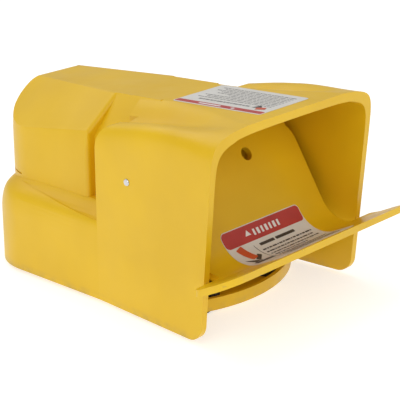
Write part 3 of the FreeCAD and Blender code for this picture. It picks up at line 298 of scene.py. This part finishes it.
@dataclass(frozen=True)
class Metal:
    """Bare or plated metal with a drawn, brushed or plain grain."""

    name: str
    colour: Colour
    dull: Colour
    rough: Span = (0.26, 0.42)
    grain: Colour = (1.0, 1.0, 1.0)
    grain_scale: float = 600.0
    relief: float = 0.12
    metallic: float = 1.0
    patch_scale: float = 90.0
    patch_span: Span = (0.35, 0.7)
    grain_depth: float = 0.05 * MM
    pit_scale: float = 2400.0
    pit_strength: float = 0.08
    pit_depth: float = 0.03 * MM

    def build(self) -> bpy.types.Material:
        """Metal with patchy tone, a directional grain and small pits.

        Returns:
            The material.
        """
        board = Board(self.name)
        patch = board.span(board.noise(self.patch_scale, 4.0), self.patch_span, (0.0, 1.0))
        board.link(board.blend(patch, self.colour, self.dull), board.shader.inputs["Base Color"])
        grain = board.noise(self.grain_scale, 3.0, self.grain)
        board.link(board.span(grain, MIDDLE, self.rough), board.shader.inputs["Roughness"])
        board.constants(Metallic=self.metallic)
        board.bumps([
            (grain, self.relief, self.grain_depth),
            (board.noise(self.pit_scale, 2.0), self.pit_strength, self.pit_depth),
        ])
        return board.material


@dataclass(frozen=True)
class Moulding:
    """Moulded rubber or plastic."""

    name: str
    colour: Colour
    worn: Colour
    rough: Span = (0.45, 0.62)
    texture_scale: float = 1800.0
    relief: float = 0.25
    texture_depth: float = 0.05 * MM
    dust_scale: float = 140.0
    dust_span: Span = (0.42, 0.78)
    dust_share: float = 0.8
    sheen_scale: float = 220.0
    wave_scale: float = 90.0
    wave_strength: float = 0.08
    wave_depth: float = 0.2 * MM

    def build(self) -> bpy.types.Material:
        """Moulding with a fine spark texture and dusty patches.

        Returns:
            The material.
        """
        board = Board(self.name)
        dust = board.span(board.noise(self.dust_scale, 5.0), self.dust_span,
                          (0.0, self.dust_share))
        board.link(board.blend(dust, self.colour, self.worn), board.shader.inputs["Base Color"])
        board.link(board.span(board.noise(self.sheen_scale, 3.0), MIDDLE, self.rough),
                   board.shader.inputs["Roughness"])
        board.constants(IOR=1.48)
        board.bumps([
            (board.noise(self.texture_scale, 2.0), self.relief, self.texture_depth),
            (board.noise(self.wave_scale, 2.0), self.wave_strength, self.wave_depth),
        ])
        return board.material


@dataclass(frozen=True)
class Print:
    """Label film or ink with a faint screen-print texture."""

    name: str
    colour: Colour
    shade: Colour
    rough: Span = (0.34, 0.46)
    tone_scale: float = 70.0
    tone_span: Span = (0.3, 0.75)
    sheen_scale: float = 160.0
    tooth_scale: float = 2600.0
    tooth_strength: float = 0.10
    tooth_depth: float = 0.02 * MM

    def build(self) -> bpy.types.Material:
        """Film with slight tone changes and a fine tooth.

        Returns:
            The material.
        """
        board = Board(self.name)
        tone = board.span(board.noise(self.tone_scale, 3.0), self.tone_span, (0.0, 1.0))
        board.link(board.blend(tone, self.colour, self.shade), board.shader.inputs["Base Color"])
        board.link(board.span(board.noise(self.sheen_scale, 2.0), MIDDLE, self.rough),
                   board.shader.inputs["Roughness"])
        board.constants(IOR=1.46)
        board.bumps([(board.noise(self.tooth_scale, 1.0), self.tooth_strength, self.tooth_depth)])
        return board.material


class Ink(Enum):
    """Printed colours of the labels."""

    FILM = Print("label_film", (0.72, 0.70, 0.66), (0.66, 0.64, 0.59))
    RED = Print("label_red", (0.50, 0.045, 0.035), (0.42, 0.035, 0.03))
    BLACK = Print("label_black", (0.030, 0.028, 0.028), (0.055, 0.05, 0.05))
    ORANGE = Print("label_orange", (0.62, 0.10, 0.03), (0.55, 0.08, 0.03))
    GREY = Print("label_grey", (0.17, 0.16, 0.155), (0.25, 0.24, 0.23))
    WHITE = Print("label_white", (0.82, 0.80, 0.78), (0.76, 0.74, 0.70))


class Slot(Enum):
    """Finish of each material slot in the record."""

    safety_yellow = PowderCoat("guard_yellow", (0.800, 0.500, 0.006), (0.735, 0.450, 0.005))
    safety_yellow_base = PowderCoat("base_yellow", (0.780, 0.490, 0.008), (0.710, 0.435, 0.006))
    pedal_yellow = PowderCoat("treadle_yellow", (0.760, 0.475, 0.008), (0.690, 0.420, 0.006))
    black_rubber = Moulding("black_rubber", (0.016, 0.016, 0.017), (0.045, 0.043, 0.040),
                            (0.58, 0.78))
    zinc_steel = Metal("zinc_plated_screws", (0.62, 0.62, 0.60), (0.45, 0.45, 0.43))
    zinc_plate = Metal("zinc_plated_sheet", (0.60, 0.60, 0.58), (0.47, 0.47, 0.45),
                       grain=(1.0, 1.0, 14.0))
    bright_steel = Metal("ground_steel", (0.70, 0.70, 0.71), (0.55, 0.55, 0.56),
                         (0.18, 0.32), (12.0, 1.0, 1.0))
    spring_steel = Metal("spring_wire", (0.40, 0.40, 0.42), (0.28, 0.28, 0.29), (0.28, 0.45))
    black_steel = Metal("black_oxide", (0.035, 0.034, 0.034), (0.06, 0.055, 0.05), (0.40, 0.55))
    bronze = Metal("sintered_bronze", (0.46, 0.29, 0.12), (0.30, 0.19, 0.08), (0.42, 0.60))
    nylon_white = Moulding("white_nylon", (0.74, 0.72, 0.66), (0.62, 0.59, 0.52))
    black_moulding = Moulding("switch_phenolic", (0.022, 0.021, 0.021), (0.05, 0.047, 0.045),
                              (0.30, 0.45))
    red_plunger = Moulding("red_plunger", (0.42, 0.03, 0.02), (0.33, 0.03, 0.02), (0.25, 0.38))
    brass = Metal("brass_plate", (0.70, 0.50, 0.20), (0.52, 0.36, 0.14))
    green_screw = Metal("green_earth_screw", (0.05, 0.26, 0.09), (0.03, 0.17, 0.06),
                        (0.35, 0.50), metallic=0.8)
    label_print = Print("label_print", (0.72, 0.70, 0.66), (0.66, 0.64, 0.59))


class Paintshop:
    """Makes each finish once and hands out its material."""

    def __init__(self) -> None:
        """Start with no material made."""
        self.made: dict[str, bpy.types.Material] = {}

    def material(self, finish: Finish) -> bpy.types.Material:
        """Material of a finish, made on first use.

        Args:
            finish: the finish.

        Returns:
            Its material.
        """
        if finish.name not in self.made:
            self.made[finish.name] = finish.build()
        return self.made[finish.name]


SHOP = Paintshop()


# ---------------------------------------------------------------------------
# making and finishing meshes
# ---------------------------------------------------------------------------
def shading_group(name: str, angle: float) -> bpy.types.NodeTree:
    """Geometry nodes that join loose triangles and shade smooth below an angle.

    Args:
        name: name of the group.
        angle: edges sharper than this, in degrees, stay sharp.

    Returns:
        The node group for a modifier.
    """
    tree = bpy.data.node_groups.new(name, "GeometryNodeTree")
    tree.interface.new_socket("Geometry", in_out="INPUT", socket_type="NodeSocketGeometry")
    tree.interface.new_socket("Geometry", in_out="OUTPUT", socket_type="NodeSocketGeometry")
    make = tree.nodes.new
    start, end = make("NodeGroupInput"), make("NodeGroupOutput")
    strip = make("GeometryNodeRemoveAttribute")
    strip.inputs["Name"].default_value = "custom_normal"
    weld = make("GeometryNodeMergeByDistance")
    weld.inputs["Distance"].default_value = NODE_WELD
    smooth = make("GeometryNodeSetShadeSmooth")
    smooth.domain = "FACE"
    sharp = make("GeometryNodeSetShadeSmooth")
    sharp.domain = "EDGE"
    fold = make("GeometryNodeInputMeshEdgeAngle")
    test = make("FunctionNodeCompare")
    test.operation = "LESS_THAN"
    test.inputs[1].default_value = math.radians(angle)
    link = tree.links.new
    link(start.outputs[0], strip.inputs["Geometry"])
    link(strip.outputs["Geometry"], weld.inputs["Geometry"])
    link(weld.outputs["Geometry"], smooth.inputs[0])
    link(smooth.outputs[0], sharp.inputs[0])
    link(fold.outputs["Unsigned Angle"], test.inputs[0])
    link(test.outputs[0], sharp.inputs["Shade Smooth"])
    link(sharp.outputs[0], end.inputs[0])
    return tree


SHADING = shading_group("join_and_shade", SHADE_ANGLE)


def dress_node(name: str, finish: Finish, edge: float = 0.0, segments: int = 2) -> None:
    """Give a CAD node its material, broken edges and clean shading.

    Args:
        name: the node.
        finish: its finish.
        edge: width of the broken edges in metres, or 0 for none.
        segments: segments of the broken edges.
    """
    node = frame["nodes"][name]
    node.data.materials.clear()
    node.data.materials.append(SHOP.material(finish))
    join = node.modifiers.new("join", "NODES")
    join.node_group = SHADING
    if edge > 0.0:
        bevel = node.modifiers.new("broken_edges", "BEVEL")
        bevel.width = edge
        bevel.segments = segments
        bevel.limit_method = "ANGLE"
        bevel.angle_limit = math.radians(EDGE_ANGLE)
        bevel.use_clamp_overlap = True
        bevel.miter_outer = "MITER_ARC"
        again = node.modifiers.new("shade", "NODES")
        again.node_group = SHADING
    weighted = node.modifiers.new("even_normals", "WEIGHTED_NORMAL")
    weighted.keep_sharp = True
    LOG.info("dressed %s with %s", name, finish.name)


def finish_piece(shape: bmesh.types.BMesh, name: str, body: str, finish: Finish,
                 angle: float = SHADE_ANGLE) -> bpy.types.Object:
    """Turn a bmesh into a shown piece that rides on a body.

    Args:
        shape: the finished shape, in the frame's coordinates.
        name: name of the piece.
        body: the CAD body that it moves with.
        finish: its finish.
        angle: edges sharper than this, in degrees, stay sharp.

    Returns:
        The new object.
    """
    bmesh.ops.remove_doubles(shape, verts=shape.verts, dist=PIECE_WELD)
    bmesh.ops.recalc_face_normals(shape, faces=shape.faces)
    mesh = bpy.data.meshes.new(name)
    shape.to_mesh(mesh)
    shape.free()
    mesh.polygons.foreach_set("use_smooth", [True] * len(mesh.polygons))
    mesh.set_sharp_from_angle(angle=math.radians(angle))
    mesh.materials.append(SHOP.material(finish))
    piece = bpy.data.objects.new(name, mesh)
    bpy.context.scene.collection.objects.link(piece)
    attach(piece, body)
    LOG.info("built %s: %d faces, rides on %s", name, len(mesh.polygons), body)
    return piece


# ---------------------------------------------------------------------------
# labels
# ---------------------------------------------------------------------------
class Surface(Protocol):
    """A face that a label lies on."""

    def place(self, across: float, along: float, lift: float) -> Vector:
        """Point over the face, in metres across it, along it and off it."""


@dataclass(frozen=True)
class FallingFlat:
    """The guard's flat top, which falls towards the rear."""

    front_y: float
    front_z: float
    slope: float

    def place(self, across: float, along: float, lift: float) -> Vector:
        """Point at a distance behind the label's front edge.

        Args:
            across: place across the switch.
            along: distance down the slope.
            lift: height over the face.

        Returns:
            The point.
        """
        run = along * math.cos(self.slope)
        return Vector((across, self.front_y + run,
                       self.front_z - along * math.sin(self.slope) + lift))


@dataclass(frozen=True)
class GateFace:
    """The gate's face: a leaning plate, a round bend and a rising lip."""

    bend_y: float
    bend_z: float
    radius: float
    plate_angle: float
    lip_angle: float
    plate_run: float

    def place(self, across: float, along: float, lift: float) -> Vector:
        """Point at a distance down the face from the label's top edge.

        Args:
            across: place across the switch.
            along: distance down the plate, round the bend and out on the lip.
            lift: height over the face.

        Returns:
            The point.
        """
        radius = self.radius - lift
        if along < self.plate_run:
            turn = self.plate_angle
            extra = self.plate_run - along
        else:
            turn = self.plate_angle - (along - self.plate_run) / self.radius
            extra = 0.0
        if turn < -self.lip_angle:
            extra = (self.lip_angle + turn) * self.radius
            turn = -self.lip_angle
        y = self.bend_y + radius * math.sin(turn) + extra * math.cos(turn)
        z = self.bend_z - radius * math.cos(turn) + extra * math.sin(turn)
        return Vector((across, y, z))


@dataclass(frozen=True)
class Patch:
    """One printed shape on a label, in millimetres across and along it."""

    across: float
    along: float
    width: float
    height: float
    corner: float = 0.0
    sides: int = 4
    tilt: float = 0.0
    corner_steps: int = 5

    def draw(self, shape: bmesh.types.BMesh) -> list[bmesh.types.BMVert]:
        """Draw the flat shape.

        Args:
            shape: the bmesh that gets it.

        Returns:
            Its corners.
        """
        if self.sides == 4:
            made = bmesh.ops.create_grid(shape, x_segments=1, y_segments=1, size=0.5)
        else:
            made = bmesh.ops.create_circle(shape, cap_ends=True, segments=self.sides, radius=0.5)
        corners = made["verts"]
        bmesh.ops.scale(shape, vec=(self.width * MM, self.height * MM, 1.0), verts=corners)
        if self.corner > 0.0:
            rounded = bmesh.ops.bevel(
                shape, geom=corners, offset=self.corner * MM, segments=self.corner_steps,
                affect="VERTICES", profile=0.5, material=-1)
            corners = rounded["verts"]
        if self.tilt:
            bmesh.ops.rotate(shape, cent=(0.0, 0.0, 0.0), verts=corners,
                             matrix=Matrix.Rotation(math.radians(self.tilt), 3, "Z"))
        bmesh.ops.translate(shape, vec=(self.across * MM, self.along * MM, 0.0), verts=corners)
        return corners


@dataclass(frozen=True)
class Layer:
    """Patches of one ink."""

    name: str
    ink: Ink
    patches: tuple[Patch, ...]


@dataclass
class Label:
    """A printed film on a face of the switch."""

    name: str
    node: str
    body: str
    face: Surface
    film: Patch
    layers: tuple[Layer, ...]
    gap: float = 0.04 * MM
    thickness: float = 0.20 * MM
    ink_thickness: float = 0.03 * MM
    cut_every: float = 1.6 * MM

    def build(self) -> None:
        """Make the film and its print."""
        film = self.sheet((self.film,), self.gap, self.thickness)
        piece = finish_piece(film, self.name, self.body, Ink.FILM.value)
        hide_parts(self.node)
        lift = self.gap + self.thickness - 0.5 * self.ink_thickness
        for layer in self.layers:
            ink = self.sheet(layer.patches, lift, self.ink_thickness)
            finish_piece(ink, f"{self.name}_{layer.name}", self.body, layer.ink.value)
            lift += self.ink_thickness

    def sheet(self, patches: Iterable[Patch], lift: float, thickness: float) -> bmesh.types.BMesh:
        """Flat patches cut across, given a thickness and laid on the face.

        Args:
            patches: the flat shapes.
            lift: height of their underside over the face.
            thickness: their thickness.

        Returns:
            The laid shape.
        """
        shape = bmesh.new()
        for patch in patches:
            patch.draw(shape)
        shape.verts.ensure_lookup_table()
        lows = [vert.co.y for vert in shape.verts]
        at = math.floor(min(lows) / self.cut_every) * self.cut_every
        while at < max(lows):
            bmesh.ops.bisect_plane(
                shape, geom=shape.verts[:] + shape.edges[:] + shape.faces[:],
                plane_co=(0.0, at, 0.0), plane_no=(0.0, 1.0, 0.0))
            at += self.cut_every
        grown = bmesh.ops.extrude_face_region(shape, geom=shape.faces[:])
        top = [item for item in grown["geom"] if isinstance(item, bmesh.types.BMVert)]
        bmesh.ops.translate(shape, vec=(0.0, 0.0, thickness), verts=top)
        for vert in shape.verts:
            across, along, up = vert.co
            vert.co = self.face.place(across, along, lift + up)
        return shape


WORD_WIDTHS = (3.4, 1.7, 2.6, 4.3, 1.2, 3.0, 2.1, 5.0, 1.5, 2.8)
ROW_FILLS = (1.0, 0.93, 0.98, 0.72, 0.96, 0.88)
WORD_GAP = 0.75


def word_rows(first: float, pitch: float, count: int, start: float, end: float,
              height: float, sideways: bool = False) -> tuple[Patch, ...]:
    """Rows of short bars that stand for lines of small print.

    Args:
        first: place of the first row, in millimetres.
        pitch: distance between rows.
        count: number of rows.
        start: where the rows begin.
        end: where the longest row ends.
        height: height of the bars.
        sideways: rows run along the label instead of across it.

    Returns:
        The bars.
    """
    bars: list[Patch] = []
    pick = 0
    for row in range(count):
        at = start
        stop = start + (end - start) * ROW_FILLS[row % len(ROW_FILLS)]
        while True:
            width = WORD_WIDTHS[pick % len(WORD_WIDTHS)]
            pick += 1
            if at + width > stop:
                break
            middle = at + 0.5 * width
            line = first + row * pitch
            if sideways:
                bars.append(Patch(line, middle, height, width))
            else:
                bars.append(Patch(middle, line, width, height))
            at += width + WORD_GAP
    return tuple(bars)


# ---------------------------------------------------------------------------
# sub-assemblies
# ---------------------------------------------------------------------------
@dataclass
class GuardHousing:
    """Yellow casting with its hood, walls and rear hump."""

    body: str = "housing"
    edge: float = 1.3 * MM
    slope: float = math.atan(0.058)
    label_corner: float = 2.4
    label_sink: float = 0.28 * MM     # the label's top over the bare flat
    band_in: float = 4.2              # middle of the red band from the label's side
    band_width: float = 5.6
    row_in: float = 19.0
    row_pitch: float = 3.3
    row_count: int = 9
    row_height: float = 1.15
    title_in: float = 13.8
    title_height: float = 2.1
    thread_radius: float = 10.35 * MM
    thread_depth: float = 1.1 * MM
    thread_pitch: float = 1.8 * MM
    thread_start: float = 2.0 * MM
    thread_relief: float = 0.1 * MM
    thread_turns: int = 7
    thread_crest: float = 0.45        # share of the pitch at the crest
    thread_root: float = 0.95         # share of the pitch at the root
    thread_steps: int = 64
    thread_angle: float = 25.0

    def build(self) -> None:
        """Dress the casting and build the top label and the conduit thread."""
        dress_node("shield_housing", Slot.safety_yellow.value, self.edge, 3)
        self.top_label().build()
        self.conduit_thread()

    def top_label(self) -> Label:
        """Label on the flat top, with its print running front to rear.

        Returns:
            The label.
        """
        low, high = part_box("top_label")
        length = (high.y - low.y) / math.cos(self.slope) / MM
        width = (high.x - low.x) / MM
        side = -0.5 * width
        middle = 0.5 * length
        band_at = side + self.band_in
        face = FallingFlat(low.y, high.z - self.label_sink, self.slope)
        band = (Patch(band_at, middle, width=self.band_width, height=length - 1.4, corner=1.2),)
        rows = word_rows(side + self.row_in, self.row_pitch, self.row_count, start=6.0,
                         end=length - 5.0, height=self.row_height, sideways=True)
        title = word_rows(side + self.title_in, self.row_pitch, 1, start=20.0,
                          end=length - 8.0, height=self.title_height, sideways=True)
        marks = (Patch(band_at, middle + 8.0, width=2.0, height=19.0, corner=0.6),
                 Patch(band_at, middle - 12.0, width=2.8, height=2.8, sides=24))
        symbol = (Patch(side + 12.6, 9.5, width=5.0, height=7.0, corner=0.6, tilt=24.0),)
        wedge = (Patch(side + 15.2, 13.6, width=8.0, height=9.0, sides=3, tilt=40.0),)
        return Label(
            "top_label_film", "top_label", self.body, face,
            Patch(0.0, middle, width, length, self.label_corner),
            (Layer("band", Ink.RED, band),
             Layer("marks", Ink.WHITE, marks),
             Layer("rows", Ink.GREY, rows + title),
             Layer("wedge", Ink.BLACK, wedge),
             Layer("symbol", Ink.ORANGE, symbol)))

    def conduit_thread(self) -> None:
        """Spun thread form inside the rear conduit entry."""
        mount = next(mount for mount in frame["record"]["mounts"]
                     if mount["name"] == "conduit_entry")
        height = mount["pos_m"][2]
        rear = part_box("shield_housing")[1].y
        shape = bmesh.new()
        points = [Vector((self.thread_radius, rear - self.thread_start, 0.0))]
        for turn in range(self.thread_turns):
            at = rear - self.thread_start - turn * self.thread_pitch
            points.append(Vector((self.thread_radius - self.thread_depth,
                                  at - self.thread_crest * self.thread_pitch, 0.0)))
            points.append(Vector((self.thread_radius - self.thread_relief,
                                  at - self.thread_root * self.thread_pitch, 0.0)))
        points.append(Vector((self.thread_radius, points[-1].y, 0.0)))
        verts = [shape.verts.new(point) for point in points]
        edges = [shape.edges.new((a, b)) for a, b in zip(verts, verts[1:] + verts[:1])]
        bmesh.ops.spin(shape, geom=verts + edges, cent=(0.0, 0.0, 0.0), axis=(0.0, 1.0, 0.0),
                       dvec=(0.0, 0.0, 0.0), angle=2.0 * math.pi, steps=self.thread_steps,
                       use_merge=True)
        bmesh.ops.translate(shape, vec=(0.0, 0.0, height), verts=shape.verts)
        finish_piece(shape, "conduit_thread", self.body, Slot.zinc_plate.value,
                     self.thread_angle)


@dataclass
class BaseTray:
    """Base casting, gasket, feet and the screws under it."""

    body: str = "housing"
    edge: float = 0.8 * MM

    def build(self) -> None:
        """Dress every node of the base."""
        dress_node("base_plate", Slot.safety_yellow_base.value, self.edge)
        dress_node("base_gasket", Slot.black_rubber.value)
        dress_node("rubber_feet", Slot.black_rubber.value, 0.3 * MM)
        dress_node("foot_screws", Slot.zinc_steel.value, 0.2 * MM)
        dress_node("housing_screws", Slot.zinc_steel.value, 0.2 * MM)
        dress_node("pedal_bumpers", Slot.black_rubber.value, 0.2 * MM)
        dress_node("shaft_bushings", Slot.bronze.value, 0.2 * MM)
        dress_node("ground_screw", Slot.green_screw.value, 0.2 * MM)


@dataclass
class SafetyGate:
    """Toe-lift gate, its hinge and its label."""

    body: str = "gate"
    edge: float = 1.0 * MM
    bend_y: float = -0.7 * MM
    bend_z: float = 70.2 * MM
    bend_radius: float = 24.0 * MM
    plate_angle: float = math.radians(57.6)
    lip_angle: float = math.radians(27.0)
    label_top: float = 61.0 * MM
    label_length: float = 60.0
    label_corner: float = 4.0
    title_at: float = 7.0
    title_start: float = -9.5
    title_pitch: float = 4.2
    title_strokes: int = 7
    heading_at: float = 17.2

    def build(self) -> None:
        """Dress the gate and build its label."""
        dress_node("safety_gate", Slot.safety_yellow.value, self.edge, 3)
        dress_node("gate_bushings", Slot.nylon_white.value, 0.2 * MM)
        dress_node("gate_pin", Slot.bright_steel.value, 0.2 * MM)
        dress_node("gate_pin_clips", Slot.spring_steel.value)
        dress_node("gate_spring", Slot.spring_steel.value)
        self.label().build()

    def face(self) -> GateFace:
        """The face that the label follows.

        Returns:
            The face.
        """
        joint_z = self.bend_z - self.bend_radius * math.cos(self.plate_angle)
        run = (self.label_top - joint_z) / math.sin(self.plate_angle)
        return GateFace(FRONT_Y + self.bend_y, self.bend_z, self.bend_radius,
                        self.plate_angle, self.lip_angle, run)

    def label(self) -> Label:
        """Label round the bend, with a red band over rows of print.

        Returns:
            The label.
        """
        low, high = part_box("gate_label")
        width = (high.x - low.x) / MM
        side = -0.5 * width
        band = (Patch(0.0, 6.6, width=width - 0.8, height=12.0, corner=3.4),)
        strokes = tuple(
            Patch(self.title_start + self.title_pitch * k, self.title_at,
                  width=2.0 + 0.5 * (k % 2), height=4.6, corner=0.4)
            for k in range(self.title_strokes))
        sign = Patch(-16.0, 6.6, width=6.6, height=5.4, sides=3, tilt=180.0)
        heading = (Patch(-5.0, self.heading_at, width=15.0, height=2.4, corner=0.5),
                   Patch(14.0, self.heading_at, width=20.0, height=2.4, corner=0.5))
        rows = word_rows(22.6, 3.6, 9, start=-15.0, end=-side - 3.0, height=1.35)
        rule = (Patch(side + 23.0, 35.0, width=0.5, height=38.0),)
        block = (Patch(side + 11.5, 20.5, width=7.0, height=14.0, corner=1.0, tilt=-18.0),)
        wedges = (Patch(side + 8.5, 30.5, width=15.0, height=5.5, sides=3, tilt=30.0),
                  Patch(side + 16.0, 27.5, width=9.0, height=3.4, corner=0.8, tilt=-38.0),
                  Patch(side + 13.0, 35.5, width=17.0, height=4.2, corner=0.8, tilt=4.0))
        return Label(
            "gate_label_film", "gate_label", self.body, self.face(),
            Patch(0.0, 0.5 * self.label_length, width, self.label_length, self.label_corner),
            (Layer("band", Ink.RED, band), Layer("title", Ink.WHITE, strokes + (sign,)),
             Layer("rows", Ink.BLACK, heading + rows + rule + wedges),
             Layer("block", Ink.ORANGE, block)))


@dataclass
class Treadle:
    """Pedal, its pad, shaft and springs."""

    body: str = "pedal"
    edge: float = 0.7 * MM

    def build(self) -> None:
        """Dress every node of the treadle."""
        dress_node("pedal", Slot.pedal_yellow.value, self.edge)
        dress_node("tread_pad", Slot.black_rubber.value, 0.35 * MM)
        dress_node("pedal_shaft", Slot.bright_steel.value, 0.15 * MM)
        dress_node("shaft_rings", Slot.spring_steel.value)
        dress_node("hub_set_screws", Slot.black_steel.value)
        dress_node("adjusting_screws", Slot.zinc_steel.value, 0.15 * MM)
        dress_node("adjusting_nuts", Slot.zinc_steel.value, 0.2 * MM)
        dress_node("pedal_springs", Slot.spring_steel.value)


@dataclass
class SwitchChamber:
    """Both snap switches, their bracket and terminals."""

    body: str = "housing"
    edge: float = 0.35 * MM

    def build(self) -> None:
        """Dress every node in the chamber."""
        for side in ("left", "right"):
            dress_node(f"switch_body_{side}", Slot.black_moulding.value, self.edge)
            dress_node(f"plunger_{side}", Slot.red_plunger.value)
        dress_node("terminal_clamps", Slot.brass.value, 0.1 * MM)
        dress_node("terminal_screws", Slot.zinc_steel.value, 0.15 * MM)
        dress_node("switch_bracket", Slot.zinc_plate.value, 0.3 * MM)
        dress_node("switch_screws", Slot.zinc_steel.value, 0.15 * MM)
        dress_node("switch_nuts", Slot.zinc_steel.value, 0.15 * MM)
        dress_node("bracket_screws", Slot.zinc_steel.value, 0.15 * MM)


# ---------------------------------------------------------------------------
# studio
# ---------------------------------------------------------------------------
@dataclass(frozen=True)
class SoftBox:
    """A square area light aimed at the switch."""

    name: str
    place: tuple[float, float, float]
    size: float
    power: float
    colour: Colour = (1.0, 1.0, 1.0)


@dataclass
class Studio:
    """Pale floor, soft lights and the camera."""

    aim: Vector = field(default_factory=lambda: Vector((4.98 * MM, -50.0 * MM, 59.5 * MM)))
    eye: Vector = field(default_factory=lambda: Vector((-718.1 * MM, -705.7 * MM, 407.1 * MM)))
    lens: float = 132.1
    sensor: float = 36.0
    roll: float = -0.24
    clip_start: float = 0.02
    floor_half: float = 4.0
    floor_drop: float = 0.05 * MM
    floor_cells: int = 8
    floor_colour: Colour = (0.62, 0.62, 0.62)
    sky: float = 0.42
    floor_glow: float = 0.62
    boxes: tuple[SoftBox, ...] = (
        SoftBox("key_light", (-1.20, -0.45, 0.90), 1.1, 6.6),
        SoftBox("top_light", (0.10, 0.60, 1.25), 1.4, 7.6),
        SoftBox("front_light", (0.10, -1.35, 0.80), 0.9, 4.3),
    )

    def build(self) -> None:
        """Set up the floor, the lights and the camera."""
        self.floor()
        for light in self.boxes:
            self.soft_box(light)
        self.world()
        self.camera()

    def floor(self) -> None:
        """Plain pale floor just under the feet."""
        shape = bmesh.new()
        bmesh.ops.create_grid(shape, x_segments=self.floor_cells,
                              y_segments=self.floor_cells, size=self.floor_half)
        bmesh.ops.translate(shape, vec=(0.0, 0.0, -self.floor_drop), verts=shape.verts)
        mesh = bpy.data.meshes.new("floor")
        shape.to_mesh(mesh)
        shape.free()
        board = Board("floor_paper")
        board.shader.inputs["Base Color"].default_value = (*self.floor_colour, 1.0)
        board.shader.inputs["Emission Color"].default_value = (1.0, 1.0, 1.0, 1.0)
        board.constants(Roughness=0.9, Specular_IOR_Level=0.1, Emission_Strength=self.floor_glow)
        mesh.materials.append(board.material)
        floor = bpy.data.objects.new("floor", mesh)
        bpy.context.scene.collection.objects.link(floor)

    def soft_box(self, box: SoftBox) -> None:
        """Add one area light.

        Args:
            box: the light's place, size and power.
        """
        data = bpy.data.lights.new(box.name, "AREA")
        data.shape = "SQUARE"
        data.size = box.size
        data.energy = box.power
        data.color = box.colour
        light = bpy.data.objects.new(box.name, data)
        light.location = box.place
        light.rotation_euler = (self.aim - light.location).to_track_quat("-Z", "Y").to_euler()
        bpy.context.scene.collection.objects.link(light)

    def world(self) -> None:
        """Even white surroundings."""
        world = bpy.data.worlds.new("studio")
        world.use_nodes = True
        sky = world.node_tree.nodes["Background"]
        sky.inputs["Color"].default_value = (1.0, 1.0, 1.0, 1.0)
        sky.inputs["Strength"].default_value = self.sky
        bpy.context.scene.world = world
        bpy.context.scene.view_settings.view_transform = "Standard"

    def camera(self) -> None:
        """Camera in front, to the left and a little above."""
        data = bpy.data.cameras.new("view")
        data.lens = self.lens
        data.sensor_width = self.sensor
        data.clip_start = self.clip_start
        camera = bpy.data.objects.new("view", data)
        turn = (self.aim - self.eye).to_track_quat("-Z", "Y").to_matrix()
        turn = turn @ Matrix.Rotation(math.radians(self.roll), 3, "Z")
        camera.matrix_world = Matrix.Translation(self.eye) @ turn.to_4x4()
        bpy.context.scene.collection.objects.link(camera)
        bpy.context.scene.camera = camera


def main() -> None:
    """Build every sub-assembly in order, then the studio."""
    logging.basicConfig(level=logging.INFO, format="%(name)s: %(message)s")
    makers: tuple[Callable[[], object], ...] = (
        GuardHousing, BaseTray, SafetyGate, Treadle, SwitchChamber, Studio)
    for maker in makers:
        maker().build()
        LOG.info("%s done", maker.__name__)


if __name__ == "__main__":
    main()
